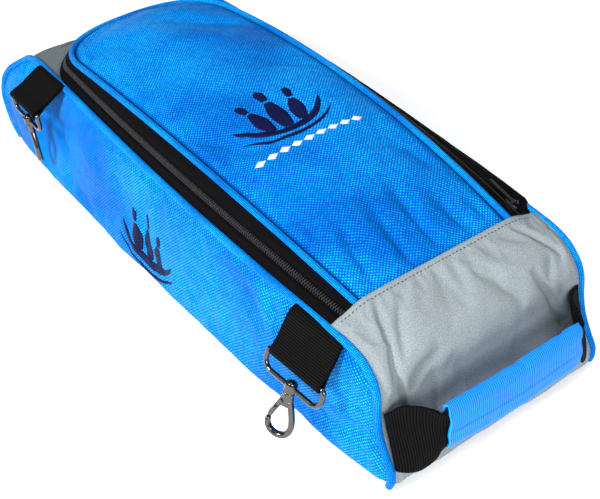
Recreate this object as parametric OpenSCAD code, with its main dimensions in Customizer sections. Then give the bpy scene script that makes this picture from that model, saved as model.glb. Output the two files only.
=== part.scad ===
// Clip-on bowling shoe bag: a soft, foam-backed case with a zipped lid, an end handle and two
// swivel clasps. Millimetres, +Z up. The origin is the middle of the base, on its underside.
// +X points to the end that carries the handle (near end), and the lid hinges at that end.

/* [Bag body] */
// Length of the fabric body, end to end
body_l = 585; // [570:1:600]
// Width of the base at its middle
base_w = 234; // [228:1:240]
// Width across the two side seams at the middle
seam_w = 208; // [202:1:212]
// Height of the side seams
seam_h = 108; // [106:1:110]
// Thickness of a fabric panel
fabric_t = 1.5; // [1:0.1:2]
// Thickness of the foam behind the panels
foam_t = 4; // [2:0.5:5]
// Diameter of the piping
piping_d = 6; // [5:0.5:6]

/* [Lid] */
// Distance from the middle of the bag to the sewn hinge of the lid
hinge_x = 212; // [210:1:214]
// Height of the lid's hinge
hinge_z = 114; // [113:1:115]
// Length of the lid from its hinge to its far edge
lid_l = 448; // [440:1:450]
// Widest width of the lid
lid_w = 164; // [158:1:166]
// Rise of the lid's edge from its ends to its middle
lid_arch = 18; // [12:1:20]
// Rise of the lid's crown above its edge
lid_crown = 8; // [4:1:10]
// Radius of the lid's far corners
lid_corner_r = 48; // [40:1:52]

/* [Zipper] */
// Radius of the long runs of the zipper
zip_r = 1580; // [1500:10:1700]
// Tilt of the tape's normal above the horizontal
zip_tilt = 42; // [38:1:46]
// Width of one coil
coil_w = 2.4; // [2:0.1:2.6]
// Gap between the two coils
coil_gap = 1.6; // [1.4:0.1:2]
// Width of the tape below the base coil
base_tape_w = 6.5; // [5:0.5:6.5]
// Width of the tape above the lid coil
lid_tape_w = 7.5; // [6:0.5:8]

/* [Handle] */
// Width of the webbing of the handle and the tabs
webbing_w = 50; // [48:1:50]
// Length of the padded grip
grip_l = 126; // [110:2:130]
// Height of the padded grip
grip_h = 42; // [36:1:44]
// Thickness of the padded grip
grip_t = 15; // [12:1:16]

/* [Clasps] */
// Distance of the near tab from the middle of the bag
near_tab_x = 208; // [200:1:210]
// Distance of the far tab from the middle of the bag
far_tab_x = 196; // [190:1:205]
// Angle at which the near tab hangs away from the vertical
near_tilt = 32; // [28:1:36]
// Angle at which the bulge of the bag holds the far tab away from the vertical
far_tilt = 60; // [50:1:65]
// Length of a tab, from its seam to the ring's bar
tab_l = 33; // [31:1:36]
// Height of the ring, between the middles of its bars
ring_h = 16; // [15:1:17]
// Diameter of the ring's wire
wire_d = 3.8; // [3.4:0.1:3.8]
// Width of the hook
hook_w = 22.4; // [21:0.1:23]
// Length of the hook below the ring's lower bar
hook_l = 43.8; // [43:0.1:45]

/* [Hidden] */
$fn = 48;
blue = [0.04, 0.42, 0.95];
gray = [0.58, 0.62, 0.64];
black = [0.06, 0.06, 0.06];
navy = [0.03, 0.06, 0.25];
white = [0.95, 0.95, 0.95];
nickel = [0.55, 0.53, 0.5];
foam_white = [0.85, 0.85, 0.82];
// Air gap kept between neighbouring soft pieces
gap = 0.5;
piping_r = piping_d / 2;
near_x = body_l / 2 - 6.5;
far_x = near_x - body_l;

// ---- shape of the body -----------------------------------------------------------------
// Outline of a side panel seen from the side: arch from the far end to the near end, and the
// two feet below it. Each point is [x, z]; x is measured from the end that it belongs to.
far_foot = [[24, 3.2], [12, 9], [4, 20], [0.5, 36], [0, 45]];
far_arch = [[0.8, 54], [3, 63], [11, 74], [21, 83], [33, 92], [46, 100], [68, 105], [118, 107]];
near_arch = [
    [-70, 0], [-51, -1], [-37, -5], [-29, -11], [-23, -18], [-19, -29], [-17.5, -47],
    [-14, -63], [-7, -77], [-1, -87], [0, -94]
];
mid_x = [-110, -40, 30, 100, 160];
arch = concat(
    [for (p = far_arch) [far_x + p[0], p[1]]],
    [for (x = mid_x) [x, seam_h]],
    [for (p = near_arch) [near_x + p[0], seam_h + p[1]]]
);
foot_z = 3.2;
far_curve = [for (p = far_foot) [far_x + p[0], p[1]]];
outline = concat(far_curve, arch, [[near_x - 0.2, 9], [near_x - 2, foot_z]]);

function lerp(a, b, t) = a + (b - a) * t;
// Half width of the body at its base and at its seam, along its length
function base_hw(x) = let (s = x / near_x) base_w / 2 - 7 * s - 9 * s * s;
function seam_hw(x) = let (s = x / near_x) seam_w / 2 + 1.5 * s - 10.5 * s * s;
function body_hw(x, z) = lerp(base_hw(x), seam_hw(x), z / seam_h) + flare(x, z);
// The padded sides bulge out towards the far end, halfway up
flare_z = [[0, 0], [17, 3.8], [40, 9], [55, 10], [75, 10], [84, 7], [94, 0], [200, 0]];
function flare(x, z) =
    let (t = min(1, max(0, (far_x + 169 - x) / 130))) t * t * (3 - 2 * t) * lookup(z, flare_z);
// Point of a path [x, z] moved inwards, square to the path, by d
function inwards(path, i, d) =
    let (
        a = path[max(i - 1, 0)],
        b = path[min(i + 1, len(path) - 1)],
        t = (b - a) / norm(b - a)
    ) path[i] + d * [t[1], -t[0]];
function inset_path(path, d) = [for (i = [0:len(path) - 1]) inwards(path, i, d)];
function profile_part(path, low, high) = [for (p = path) if (p[0] >= low && p[0] <= high) p];

// Closed solid between two grids of points of the same size
module sheet(outer, inner) {
    rows = len(outer);
    cols = len(outer[0]);
    count = rows * cols;
    points = [for (g = [outer, inner]) for (row = g) each row];
    function at(r, c) = r * cols + c;
    skin = [
        for (r = [0:rows - 2]) for (c = [0:cols - 2]) each [
            [at(r, c), at(r + 1, c), at(r + 1, c + 1)],
            [at(r, c), at(r + 1, c + 1), at(r, c + 1)]
        ]
    ];
    back = [for (f = skin) [f[0] + count, f[2] + count, f[1] + count]];
    ring = concat(
        [for (c = [0:cols - 1]) at(0, c)],
        [for (r = [1:rows - 1]) at(r, cols - 1)],
        [for (c = [1:cols - 1]) at(rows - 1, cols - 1 - c)],
        [for (r = [1:rows - 2]) at(rows - 1 - r, 0)]
    );
    n = len(ring);
    rim = [
        for (i = [0:n - 1]) let (a = ring[i], b = ring[(i + 1) % n]) each [
            [a, b, b + count],
            [a, b + count, a + count]
        ]
    ];
    polyhedron(points, concat(skin, back, rim), convexity = 6);
}

// Round tube along a path; side is a direction that the path never runs along
module tube(path, r, side, sides = 8) {
    n = len(path);
    function tangent(i) =
        let (d = path[min(i + 1, n - 1)] - path[max(i - 1, 0)]) d / norm(d);
    function ring_at(i) =
        let (
            v0 = cross(tangent(i), side),
            v = v0 / norm(v0),
            u = cross(v, tangent(i))
        ) [for (k = [0:sides - 1]) path[i] + r * (cos(360 * k / sides) * u + sin(360 * k / sides) * v)];
    points = [for (i = [0:n - 1]) each ring_at(i)];
    skin = [
        for (i = [0:n - 2]) for (k = [0:sides - 1])
            let (a = i * sides + k, b = i * sides + (k + 1) % sides) each [
                [a, b, b + sides],
                [a, b + sides, a + sides]
            ]
    ];
    first = [for (k = [0:sides - 1]) sides - 1 - k];
    last = [for (k = [0:sides - 1]) (n - 1) * sides + k];
    polyhedron(points, concat(skin, [first], [last]), convexity = 6);
}

// ---- body panels -------------------------------------------------------------------------
side_rows = [0, 0.2, 0.45, 0.7, 0.88, 1];
panel_inset = piping_d + gap;

// Side layer on the -Y side: its outer face lies depth inside the body's outline
module side_layer(depth, t, inset, floor_z) {
    edge = inset_path(arch, inset);
    foot = inset_path(far_curve, inset);
    function low(x) = x < foot[0][0] ? max(floor_z, lookup(x, foot)) : floor_z;
    function layer(d) = [
        for (p = edge) [
            for (f = side_rows) let (z = lerp(low(p[0]), p[1], f)) [p[0], d - body_hw(p[0], z), z]
        ]
    ];
    sheet(layer(depth), layer(depth + t));
}

// End layer across the body, along a stretch of the outline
module end_layer(path, depth, t, margin, raise = 0) {
    spread = [-1, -0.8, -0.4, 0, 0.4, 0.8, 1];
    function layer(d) = [
        for (i = [0:len(path) - 1]) let (p = inwards(path, i, d)) [
            for (v = spread) [
                p[0],
                v * (body_hw(p[0], p[1]) - margin),
                p[1] + raise * (1 - pow(v, 6)) * max(0, 1 - abs(p[0] - hinge_x) / 40)
            ]
        ]
    ];
    sheet(layer(depth + t), layer(depth));
}

near_path = profile_part(outline, hinge_x + 2, near_x + 1);
far_path = profile_part(outline, far_x - 1, far_x + 46.5);
foam_near_path = [for (p = near_path) if (p[1] > 12 && p[1] < seam_h - 3) p];
foam_far_path = [for (p = far_path) if (p[1] > 12 && p[1] < seam_h - 8) p];
foam_floor_z = 9;

module side_panel_front() { color(blue) side_layer(0, fabric_t, panel_inset, foot_z); }
module side_panel_back() { mirror([0, 1, 0]) side_panel_front(); }
// The side foam is thinner and stands a little further off, because both layers are double curved
side_foam_gap = gap + 0.9;
module side_foam_front() {
    color(foam_white)
        side_layer(fabric_t + side_foam_gap, foam_t - 0.9, panel_inset + 5, foam_floor_z);
}
module side_foam_back() { mirror([0, 1, 0]) side_foam_front(); }
module end_panel_near() { color(gray) end_layer(near_path, 0, fabric_t, panel_inset, 4); }
module end_foam_near() {
    color(foam_white) end_layer(foam_near_path, fabric_t + gap, foam_t, panel_inset + foam_t + 3);
}
module end_foam_far() {
    color(foam_white) end_layer(foam_far_path, fabric_t + gap, foam_t, panel_inset + foam_t + 3);
}

// The far end panel wraps over the end, with a corner patch on each side of the lid's end
corner_x0 = far_x + 48;
corner_x1 = far_x + 126;
corner_z = 99.5;
module end_panel_far() {
    color(gray) {
        end_layer(far_path, 0, fabric_t, panel_inset);
        for (s = [0, 1]) mirror([0, s, 0]) corner_patch();
    }
}
module corner_patch() {
    cut_r = lid_corner_r + 20;
    hw = seam_hw(corner_x0) - panel_inset;
    translate([0, 0, corner_z]) linear_extrude(fabric_t) polygon(concat(
        [[corner_x0, hw - 34]],
        [for (a = [20:10:70]) [corner_x0 + cut_r * (1 - cos(a)) + 1, hw - 30 + 32 * sin(a)]],
        [[corner_x1, hw + 2.5], [corner_x0, hw]]
    ));
}

base_steps = [-1, -0.75, -0.5, -0.25, 0, 0.25, 0.5, 0.75, 1];
module base_plate(inset, end_inset, z, t) {
    x0 = far_curve[0][0] + end_inset;
    x1 = near_x - end_inset;
    edge = [for (s = base_steps) let (x = lerp(x0, x1, (s + 1) / 2)) [x, base_hw(x) - inset]];
    other = [for (i = [len(edge) - 1:-1:0]) [edge[i][0], -edge[i][1]]];
    translate([0, 0, z]) linear_extrude(t) polygon(concat(edge, other));
}
bottom_t = 2.5;
board_t = 3;
module bottom_panel() { color(black) base_plate(1.5, 4, 0, bottom_t); }
module base_board() { color([0.25, 0.25, 0.27]) base_plate(9, 12, bottom_t + 0.3, board_t); }

// Open tray of lining: a floor and four walls as one folded sheet
lining_t = 0.8;
lining_z = bottom_t + board_t + 0.8;
lining_top = 96;
lining_x0 = far_x + 47;
lining_x1 = near_x - 40;
module lining_block(inset, z0, z1) {
    steps = [0, 0.12, 0.3, 0.5, 0.7, 0.88, 1];
    function hw_at(x) = seam_hw(x) - fabric_t - foam_t - 2 * gap - inset - 1;
    x0 = lining_x0 + inset;
    x1 = lining_x1 - inset;
    edge = [for (f = steps) let (x = lerp(x0, x1, f)) [x, hw_at(x)]];
    other = [for (i = [len(edge) - 1:-1:0]) [edge[i][0], -edge[i][1]]];
    translate([0, 0, z0]) linear_extrude(z1 - z0) polygon(concat(edge, other));
}
module lining() {
    color(black) difference() {
        lining_block(0, lining_z, lining_top);
        lining_block(lining_t, lining_z + lining_t, lining_top + 1);
    }
}

module side_piping_front() {
    path = inset_path(outline, piping_r);
    color(blue) tube(
        [for (p = path) [p[0], piping_r - body_hw(p[0], p[1]), p[1]]], piping_r, [0, 1, 0]
    );
}
module side_piping_back() { mirror([0, 1, 0]) side_piping_front(); }

// Embroidered patch on the front panel
module side_emblem() {
    xs = [-60, -30, 0, 29];
    zs = [12, 30, 48, 66];
    function layer(d) = [for (x = xs) [for (z = zs) [x, -body_hw(x, z) - d, z]]];
    color(navy) sheet(layer(0.8), layer(0.2));
}

// ---- lid ---------------------------------------------------------------------------------
lid_far_x = hinge_x - lid_l;
lid_near_x = hinge_x - 4;
lid_mid_x = (hinge_x + lid_far_x) / 2;
lid_corner_x = lid_far_x + lid_corner_r;

function lid_bow(x) = let (s = x / hinge_x) lid_w / 2 - 3.5 * s - 6.5 * s * s;
function lid_hw(x) = x >= lid_corner_x
    ? lid_bow(x)
    : lid_bow(lid_corner_x) - lid_corner_r
        + sqrt(max(0, pow(lid_corner_r, 2) - pow(x - lid_corner_x, 2)));
function lid_span(x) = (x - lid_mid_x) / (lid_l / 2);
function lid_edge_z(x) = hinge_z + lid_arch * (1 - pow(lid_span(x), 2));
function lid_z(x, v) = lid_edge_z(x) + lid_crown * (1 - pow(lid_span(x), 4)) * (1 - v * v);

lid_rows = concat(
    [for (a = [90, 60, 30]) lid_corner_x - lid_corner_r * sin(a)],
    [for (i = [0:8]) lerp(lid_corner_x, lid_near_x, i / 8)]
);
module lid_layer(depth, t, inset, end_inset) {
    spread = [-1, -0.75, -0.4, 0, 0.4, 0.75, 1];
    xs = [for (x = lid_rows) lerp(x, lid_mid_x, end_inset / (lid_l / 2))];
    function layer(d) = [
        for (i = [0:len(xs) - 1]) [
            for (v = spread) [xs[i], v * (lid_hw(lid_rows[i]) - inset), lid_z(xs[i], v) - d]
        ]
    ];
    sheet(layer(depth + t), layer(depth));
}
lid_foam_t = 5;
lid_piping_r = 2.5;
module lid_panel() { color(blue) lid_layer(0, fabric_t, lid_piping_r * 2 + gap, 6); }
module lid_foam() { color(foam_white) lid_layer(fabric_t + gap, lid_foam_t, 8, 10); }
module lid_lining() {
    color(black) lid_layer(fabric_t + lid_foam_t + 2 * gap, lining_t, 8, 10);
}

// Edge of the lid in plan, front run, far end and back run
lid_run_x = [for (i = [0:9]) lerp(hinge_x - 7, lid_corner_x + 1, i / 9)];
corner_angles = [0:15:90];
lid_edge = concat(
    [for (x = lid_run_x) [x, -lid_hw(x)]],
    [for (a = corner_angles) lid_corner_point(a, -1)],
    [for (i = [0:6]) lid_corner_point(90 - 15 * i, 1)],
    [for (i = [9:-1:0]) [lid_run_x[i], lid_hw(lid_run_x[i])]]
);
function lid_corner_point(a, side) = [
    lid_corner_x - lid_corner_r * sin(a),
    side * (lid_bow(lid_corner_x) - lid_corner_r * (1 - cos(a)))
];
module lid_piping() {
    r = lid_piping_r;
    color(blue) tube([
        for (i = [0:len(lid_edge) - 1]) let (p = inwards(lid_edge, i, -r))
            [p[0], p[1], lid_edge_z(p[0]) - r]
    ], r, [0, 0, 1]);
}
function lid_patch(xs, y0, y1, lift) = [
    for (x = xs) [
        for (f = [0, 0.25, 0.5, 0.75, 1]) let (y = lerp(y0, y1, f)) [x, y, lid_z(x, y / lid_hw(x)) + lift]
    ]
];
module lid_emblem() {
    xs = [-4, 14, 32, 50];
    color(navy) sheet(lid_patch(xs, -42, 34, 0.2), lid_patch(xs, -42, 34, 0.8));
}
module lid_stripe() {
    xs = [60, 68, 76];
    color(white) sheet(lid_patch(xs, -38, 30, 0.2), lid_patch(xs, -38, 30, 0.8));
}

// ---- zipper ------------------------------------------------------------------------------
// Each long run of the zipper is a flat arc of radius zip_r. In its frame X points out of the
// tape, Y runs towards the far end and Z runs across the tape towards the lid.
zip_top_y = 93.5;
zip_top_z = 118;
zip_centre = [0, zip_top_y - zip_r * cos(zip_tilt), zip_top_z - zip_r * sin(zip_tilt)];
coil_edge = coil_gap / 2;
tape_edge = coil_edge + coil_w + 0.05;
tape_t = 0.6;
slider_x = 200;
slider_home = asin(slider_x / zip_r);
run_far = asin(185 / zip_r);
base_run_near = asin(208 / zip_r);
lid_run_near = asin(191 / zip_r);

module on_back_run(angle) {
    translate(zip_centre) rotate([zip_tilt, 0, 0]) rotate([0, 0, 90 - angle]) children();
}
module both_runs() {
    children();
    mirror([0, 1, 0]) children();
}
// Strip along a run: inner and outer distance from the middle of the tape, and thickness
module run_strip(near, low, high, t) {
    on_back_run(near) rotate_extrude(angle = near + run_far, $fn = 360)
        translate([zip_r - t / 2, low]) square([t, high - low]);
}
// Strip around the far end, at a distance from the lid's edge
bend_r = lid_corner_r + 11.5;
bend_z = 109;
module bend_strip(low, high, t) {
    y0 = lid_bow(lid_corner_x) - lid_corner_r;
    x0 = lid_corner_x + 1;
    translate([0, 0, bend_z - t / 2]) {
        for (s = [0, 1]) mirror([0, s, 0]) translate([x0, y0, 0]) rotate([0, 0, 96])
            rotate_extrude(angle = 84) translate([bend_r - high, 0]) square([high - low, t]);
        translate([x0 - bend_r + low, -y0 + gap, 0]) cube([high - low, 2 * y0 - 2 * gap, t]);
    }
}
module zip_tape_base() {
    color(black) {
        both_runs() run_strip(base_run_near, -tape_edge - base_tape_w, -tape_edge, tape_t);
        bend_strip(-tape_edge - 4, -tape_edge, tape_t);
    }
}
module zip_tape_lid() {
    color(black) {
        both_runs() run_strip(lid_run_near, tape_edge, tape_edge + lid_tape_w, tape_t);
        bend_strip(tape_edge, tape_edge + 1.5, tape_t);
    }
}
module zip_coil_base() {
    color([0.1, 0.1, 0.1]) {
        both_runs() run_strip(base_run_near, -coil_edge - coil_w, -coil_edge, coil_w);
        bend_strip(-coil_edge - coil_w, -coil_edge, coil_w);
    }
}
module zip_coil_lid() {
    color([0.1, 0.1, 0.1]) {
        both_runs() run_strip(lid_run_near, coil_edge, coil_edge + coil_w, coil_w);
        bend_strip(coil_edge, coil_edge + coil_w, coil_w);
    }
}
module zip_end_stops() {
    stop = [coil_w + 1, 2, coil_w + 0.6];
    color(nickel) both_runs() on_back_run(base_run_near)
        translate([zip_r - stop[0] / 2, -stop[1] - 0.3, -coil_edge - coil_w - 0.3]) cube(stop);
}

slider_l = 14;
slider_w = 10;
channel_h = coil_w + 0.8;
plate_t = 1.4;
pull_z = channel_h / 2 + plate_t + 1.7;
pull_pin_r = 1.2;
// Rounded plate in the plane of the tape, from height x0, thickness t
module slider_plate(x0, t) {
    translate([x0, 0, 0]) rotate([0, 90, 0]) {
        translate([-slider_w / 2, -slider_l / 2 + 3, 0]) cube([slider_w, slider_l - 6, t]);
        translate([-slider_w / 2 + 3, -slider_l / 2, 0]) cube([slider_w - 6, slider_l, t]);
        for (a = [-1, 1]) for (b = [-1, 1])
            translate([a * (slider_w / 2 - 3), b * (slider_l / 2 - 3), 0]) cylinder(r = 3, h = t);
    }
}
module zip_slider() {
    half = channel_h / 2;
    flange = [0.7, slider_l - 6, 0.9];
    color(nickel) on_back_run(slider_home) translate([zip_r, 0, 0]) {
        slider_plate(half, plate_t);
        slider_plate(-half - plate_t, plate_t);
        // Post between the plates, at the end that leads when the zipper opens
        translate([-half, slider_l / 2 - 4, -0.4]) cube([channel_h, 2.4, 0.8]);
        for (side = [-slider_w / 2, slider_w / 2 - flange[2]]) {
            translate([half - flange[0], -flange[1] / 2, side]) cube(flange);
            translate([-half, -flange[1] / 2, side]) cube(flange);
        }
        // Lug that holds the pull
        difference() {
            union() {
                translate([pull_z, 0, -0.8]) cylinder(r = 2.4, h = 1.6);
                translate([half + 0.5, -2.4, -0.8]) cube([pull_z - half - 0.5, 4.8, 1.6]);
            }
            translate([pull_z, 0, -2]) cylinder(r = pull_pin_r + 0.08, h = 4);
        }
    }
}
module zip_pull() {
    pull_w = 7;
    pull_l = 30;
    t = 1.4;
    color(black) on_back_run(slider_home) translate([zip_r + pull_z, 0, 0]) {
        translate([0, 0, -pull_w / 2]) cylinder(r = pull_pin_r, h = pull_w);
        for (side = [-pull_w / 2, pull_w / 2 - 1.8]) {
            translate([0, 0, side]) cylinder(r = 1.6, h = 1.8);
            translate([-t / 2, 0, side]) cube([t, 6, 1.8]);
        }
        difference() {
            union() {
                translate([-t / 2, 4, -pull_w / 2]) cube([t, pull_l - 4 - pull_w / 2, pull_w]);
                translate([-t / 2, pull_l - pull_w / 2, 0]) rotate([0, 90, 0])
                    cylinder(d = pull_w, h = t);
            }
            translate([-t, pull_l - pull_w / 2, 0]) rotate([0, 90, 0]) cylinder(r = 1.6, h = 2 * t);
        }
    }
}

// ---- handle ------------------------------------------------------------------------------
anchor_y = 86;
anchor_end_y = 91;
grip_x = near_x + 14;
grip_z = 59;
grip_y = -3;
webbing_t = 2.4;
// Stations along the handle: [y, x at the lower edge, x at the upper edge, lower z, upper z]
handle_run = [
    [-84, 292, 285, 21, 69], [-78, 295, 291, 26, 78], [-72, 298, 297, 34, 79],
    [-64, 299.5, 299.5, 41, 77], [60, 299.5, 299.5, 41, 77], [68, 298, 297, 36, 77],
    [76, 295, 291, 27, 73], [84, 292, 285, 21, 69]
];
function handle_layer(d) = [
    for (s = handle_run) [for (f = [0, 0.5, 1]) [lerp(s[1], s[2], f) + d, s[0], lerp(s[3], s[4], f)]]
];
module handle_webbing() {
    color(black) sheet(handle_layer(-webbing_t / 2), handle_layer(webbing_t / 2));
}
module rounded_slab(h, t) {
    r = min(h, t) / 2;
    square([t, h - 2 * r], center = true);
    for (s = [-1, 1]) translate([0, s * (h / 2 - r)]) circle(r);
}
// Sleeve around the webbing and its pad, open at both ends
module handle_sleeve() {
    shell = 2;
    color(blue) translate([grip_x - 0.5, grip_y + grip_l / 2, grip_z]) rotate([90, 0, 0])
        linear_extrude(grip_l) difference() {
            rounded_slab(grip_h, grip_t);
            rounded_slab(grip_h - 2 * shell, grip_t - 2 * shell);
        }
}
module handle_padding() {
    pad_x = grip_x - 0.5 + webbing_t / 2 + 0.6;
    color(foam_white) translate([pad_x, grip_y - grip_l / 2 + 4, grip_z - grip_h / 2 + 7])
        cube([2.6, grip_l - 8, grip_h - 14]);
}
// Stub of webbing held in the end seam
module handle_anchor_front() {
    function layer(d) = [
        [for (f = [0, 1]) [lerp(293.5, 284.5, f) + d, -anchor_y + gap, lerp(21, 69, f)]],
        [for (f = [0, 1]) [lerp(289.5, 274.5, f) + d, -anchor_end_y, lerp(19, 68, f)]]
    ];
    color(black) sheet(layer(webbing_t / 2), layer(-webbing_t / 2));
}
module handle_anchor_back() { mirror([0, 1, 0]) handle_anchor_front(); }

// ---- clasps ------------------------------------------------------------------------------
tab_t = 3;
tab_z = 103;
wire_r = wire_d / 2;
ring_half = webbing_w / 2 + 3;
loop_r = wire_r + 0.08;

// Places the parts of a clasp: end 1 is the near end, -1 the far end. The near tab is turned a
// little with the taper of the bag. The far ring hangs almost upright.
module at_tab(end) {
    translate(end > 0 ? [near_tab_x, -103.5, tab_z + 1] : [-far_tab_x, -100.3, tab_z + 2.5])
        rotate([end > 0 ? -near_tilt : -far_tilt, 0, 0]) rotate([0, 0, end > 0 ? 8 : -3]) children();
}
module at_ring(end) {
    at_tab(end) translate([0, 0, -tab_l]) rotate([end > 0 ? 12 : far_tilt + 2, 0, 0]) children();
}
module at_hook(end) {
    at_ring(end) translate([0, 0, -ring_h]) rotate([0, 0, end > 0 ? 20 : -15]) children();
}
module tab(end) {
    loop_out = loop_r + tab_t / 2;
    color(black) at_tab(end) rotate([90, 0, 90]) translate([0, 0, -webbing_w / 2])
        linear_extrude(webbing_w) difference() {
            polygon(concat(
                [for (a = [180:-30:0]) tab_t / 2 * [cos(a), sin(a)]],
                [[tab_t / 2, -tab_l + 9]],
                [for (a = [20:-20:-200]) [0, -tab_l] + loop_out * [cos(a), sin(a)]],
                [[-tab_t / 2, -tab_l + 9]]
            ));
            translate([0, -tab_l]) circle(loop_r);
        }
}
module rod_x(x0, x1, z) {
    translate([x0, 0, z]) rotate([0, 90, 0]) cylinder(r = wire_r, h = x1 - x0);
}
module wire_corner(x, z, r, turn) {
    translate([x, 0, z]) rotate([90, 0, 0]) rotate([0, 0, turn])
        rotate_extrude(angle = 90) translate([r, 0]) circle(wire_r);
}
collar_r = 4.6;
collar_h = 6.4;
post_r = 2;
module ring(end) {
    top_r = 3;
    low_r = 8;
    color(nickel) at_ring(end) {
        rod_x(-webbing_w / 2, webbing_w / 2, 0);
        for (s = [0, 1]) mirror([s, 0, 0]) {
            wire_corner(ring_half - top_r, -top_r, top_r, 0);
            translate([ring_half, 0, -ring_h + low_r]) cylinder(r = wire_r, h = ring_h - low_r - top_r);
            wire_corner(ring_half - low_r, -ring_h + low_r, low_r, -90);
            rod_x(post_r + 1.2, ring_half - low_r, -ring_h);
        }
        translate([0, 0, -ring_h - collar_h / 2]) difference() {
            cylinder(r = collar_r, h = collar_h);
            translate([0, 0, -1]) cylinder(r = post_r + 0.06, h = collar_h + 2);
        }
    }
}

// Outline of an egg: a small circle above a large one, with straight sides that touch both
module egg(r1, z1, r2, z2) {
    b = asin((r2 - r1) / (z1 - z2));
    translate([0, z1]) circle(r1);
    translate([0, z2]) circle(r2);
    polygon([
        [-r1 * cos(b), z1 + r1 * sin(b)], [r1 * cos(b), z1 + r1 * sin(b)],
        [r2 * cos(b), z2 + r2 * sin(b)], [-r2 * cos(b), z2 + r2 * sin(b)]
    ]);
}
hook_t = 5.2;
gate_t = 3;
eye_low_r = hook_w / 2 - 4.6;
eye_z = -hook_l + hook_w / 2 + 0.4;
pivot = [-3.6, -13];
rivet_r = 1.2;
mouth_r = 17;
module hook_frame() {
    difference() {
        egg(4.6, -8.5, hook_w / 2, -hook_l + hook_w / 2);
        egg(1.6, -14.5, eye_low_r, eye_z);
    }
}
// Left side of the hook from height top down to an arc around the gate's rivet
module mouth(top) {
    intersection() {
        translate([-20, pivot[1] - mouth_r - 1]) square([20, top - pivot[1] + mouth_r + 1]);
        translate(pivot) circle(mouth_r);
    }
}
// Extrudes a drawing of the hook's plane to a thickness
module hook_slab(t) {
    rotate([90, 0, 0]) translate([0, 0, -t / 2]) linear_extrude(t) children();
}
module hook(end) {
    color(nickel) at_hook(end) difference() {
        union() {
            hook_slab(hook_t) hook_frame();
            translate([0, 0, -8.5]) cylinder(r = 4.3, h = 8.5 - collar_h / 2 - 0.2);
            translate([0, 0, -4]) cylinder(r = post_r, h = 4 + collar_h / 2 + 0.6);
            translate([0, 0, collar_h / 2 + 0.2]) intersection() {
                translate([0, 0, -1.4]) sphere(r = 3.9);
                cylinder(r = 5, h = 5);
            }
        }
        // Mouth of the hook, closed by the gate; the gate's foot swings past the round nose
        hook_slab(hook_t + 2) mouth(-16.6);
        // Slot that holds the gate's end, and the hole for its rivet
        hook_slab(gate_t + 0.3) {
            translate(pivot) circle(3);
            mouth(pivot[1]);
            translate([-20, pivot[1] - 1]) square([20 + pivot[0], 3.9]);
        }
        translate([pivot[0], 5, pivot[1]]) rotate([90, 0, 0]) cylinder(r = rivet_r, h = 10);
        // Pocket of the gate's spring
        translate([-3, 0, -9]) rotate([0, 90, 0]) cylinder(r = 1, h = 5);
    }
}
// Half width of an egg at a height
function egg_hw(r1, z1, r2, z2, z) =
    let (
        b = asin((r2 - r1) / (z1 - z2)),
        high = z1 + r1 * sin(b),
        low = z2 + r2 * sin(b)
    ) z > high ? sqrt(r1 * r1 - pow(z - z1, 2))
    : z < low ? sqrt(r2 * r2 - pow(z - z2, 2))
    : lerp(r1, r2, (high - z) / (high - low)) * cos(b);
// The gate fills the hook's left side between the rivet and the nose
module gate(end) {
    foot_out = pivot[1] - mouth_r + 1.9;
    foot_in = pivot[1] - mouth_r + 0.65;
    steps = 10;
    function height(i, foot) = lerp(pivot[1] - 0.5, foot, i / steps);
    outer = [
        for (i = [0:steps]) let (z = height(i, foot_out))
            [-egg_hw(4.6, -8.5, hook_w / 2, -hook_l + hook_w / 2, z), z]
    ];
    inner = [
        for (i = [steps:-1:0]) let (z = height(i, foot_in))
            [-(z > -14.5 ? 1.6 : egg_hw(1.6, -14.5, eye_low_r, eye_z, z)), z]
    ];
    color(nickel) at_hook(end) hook_slab(gate_t) difference() {
        union() {
            polygon(concat(outer, inner));
            translate(pivot) circle(2.6);
        }
        translate(pivot) circle(rivet_r + 0.06);
    }
}
module rivet(end) {
    head_t = 0.6;
    color(nickel) at_hook(end) translate([pivot[0], 0, pivot[1]])
        rotate([90, 0, 0]) {
            translate([0, 0, -hook_t / 2]) cylinder(r = rivet_r, h = hook_t);
            translate([0, 0, hook_t / 2]) cylinder(r = 1.9, h = head_t);
            translate([0, 0, -hook_t / 2 - head_t]) cylinder(r = 1.9, h = head_t);
        }
}
module spring(end) {
    color(nickel) at_hook(end) translate([-2.6, 0, -9])
        rotate([0, 90, 0]) cylinder(r = 0.85, h = 4.2);
}

side_panel_front();
side_panel_back();
end_panel_near();
end_panel_far();
bottom_panel();
base_board();
side_foam_front();
side_foam_back();
end_foam_near();
end_foam_far();
lining();
side_piping_front();
side_piping_back();
side_emblem();
zip_tape_base();
zip_coil_base();
zip_end_stops();
handle_anchor_front();
handle_anchor_back();
lid_panel();
lid_foam();
lid_lining();
lid_piping();
lid_emblem();
lid_stripe();
zip_tape_lid();
zip_coil_lid();
zip_slider();
zip_pull();
handle_webbing();
handle_padding();
handle_sleeve();
tab(1);  // tab_front_near
ring(1);  // ring_front_near
hook(1);  // hook_front_near
gate(1);  // gate_front_near
rivet(1);  // rivet_front_near
spring(1);  // spring_front_near
tab(-1);  // tab_front_far
ring(-1);  // ring_front_far
hook(-1);  // hook_front_far
gate(-1);  // gate_front_far
rivet(-1);  // rivet_front_far
spring(-1);  // spring_front_far
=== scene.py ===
"""Looks of the clip-on bowling shoe bag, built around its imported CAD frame."""
import math

import bmesh
import bpy
import numpy as np
from mathutils import Matrix, Vector
from mathutils.bvhtree import BVHTree


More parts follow.
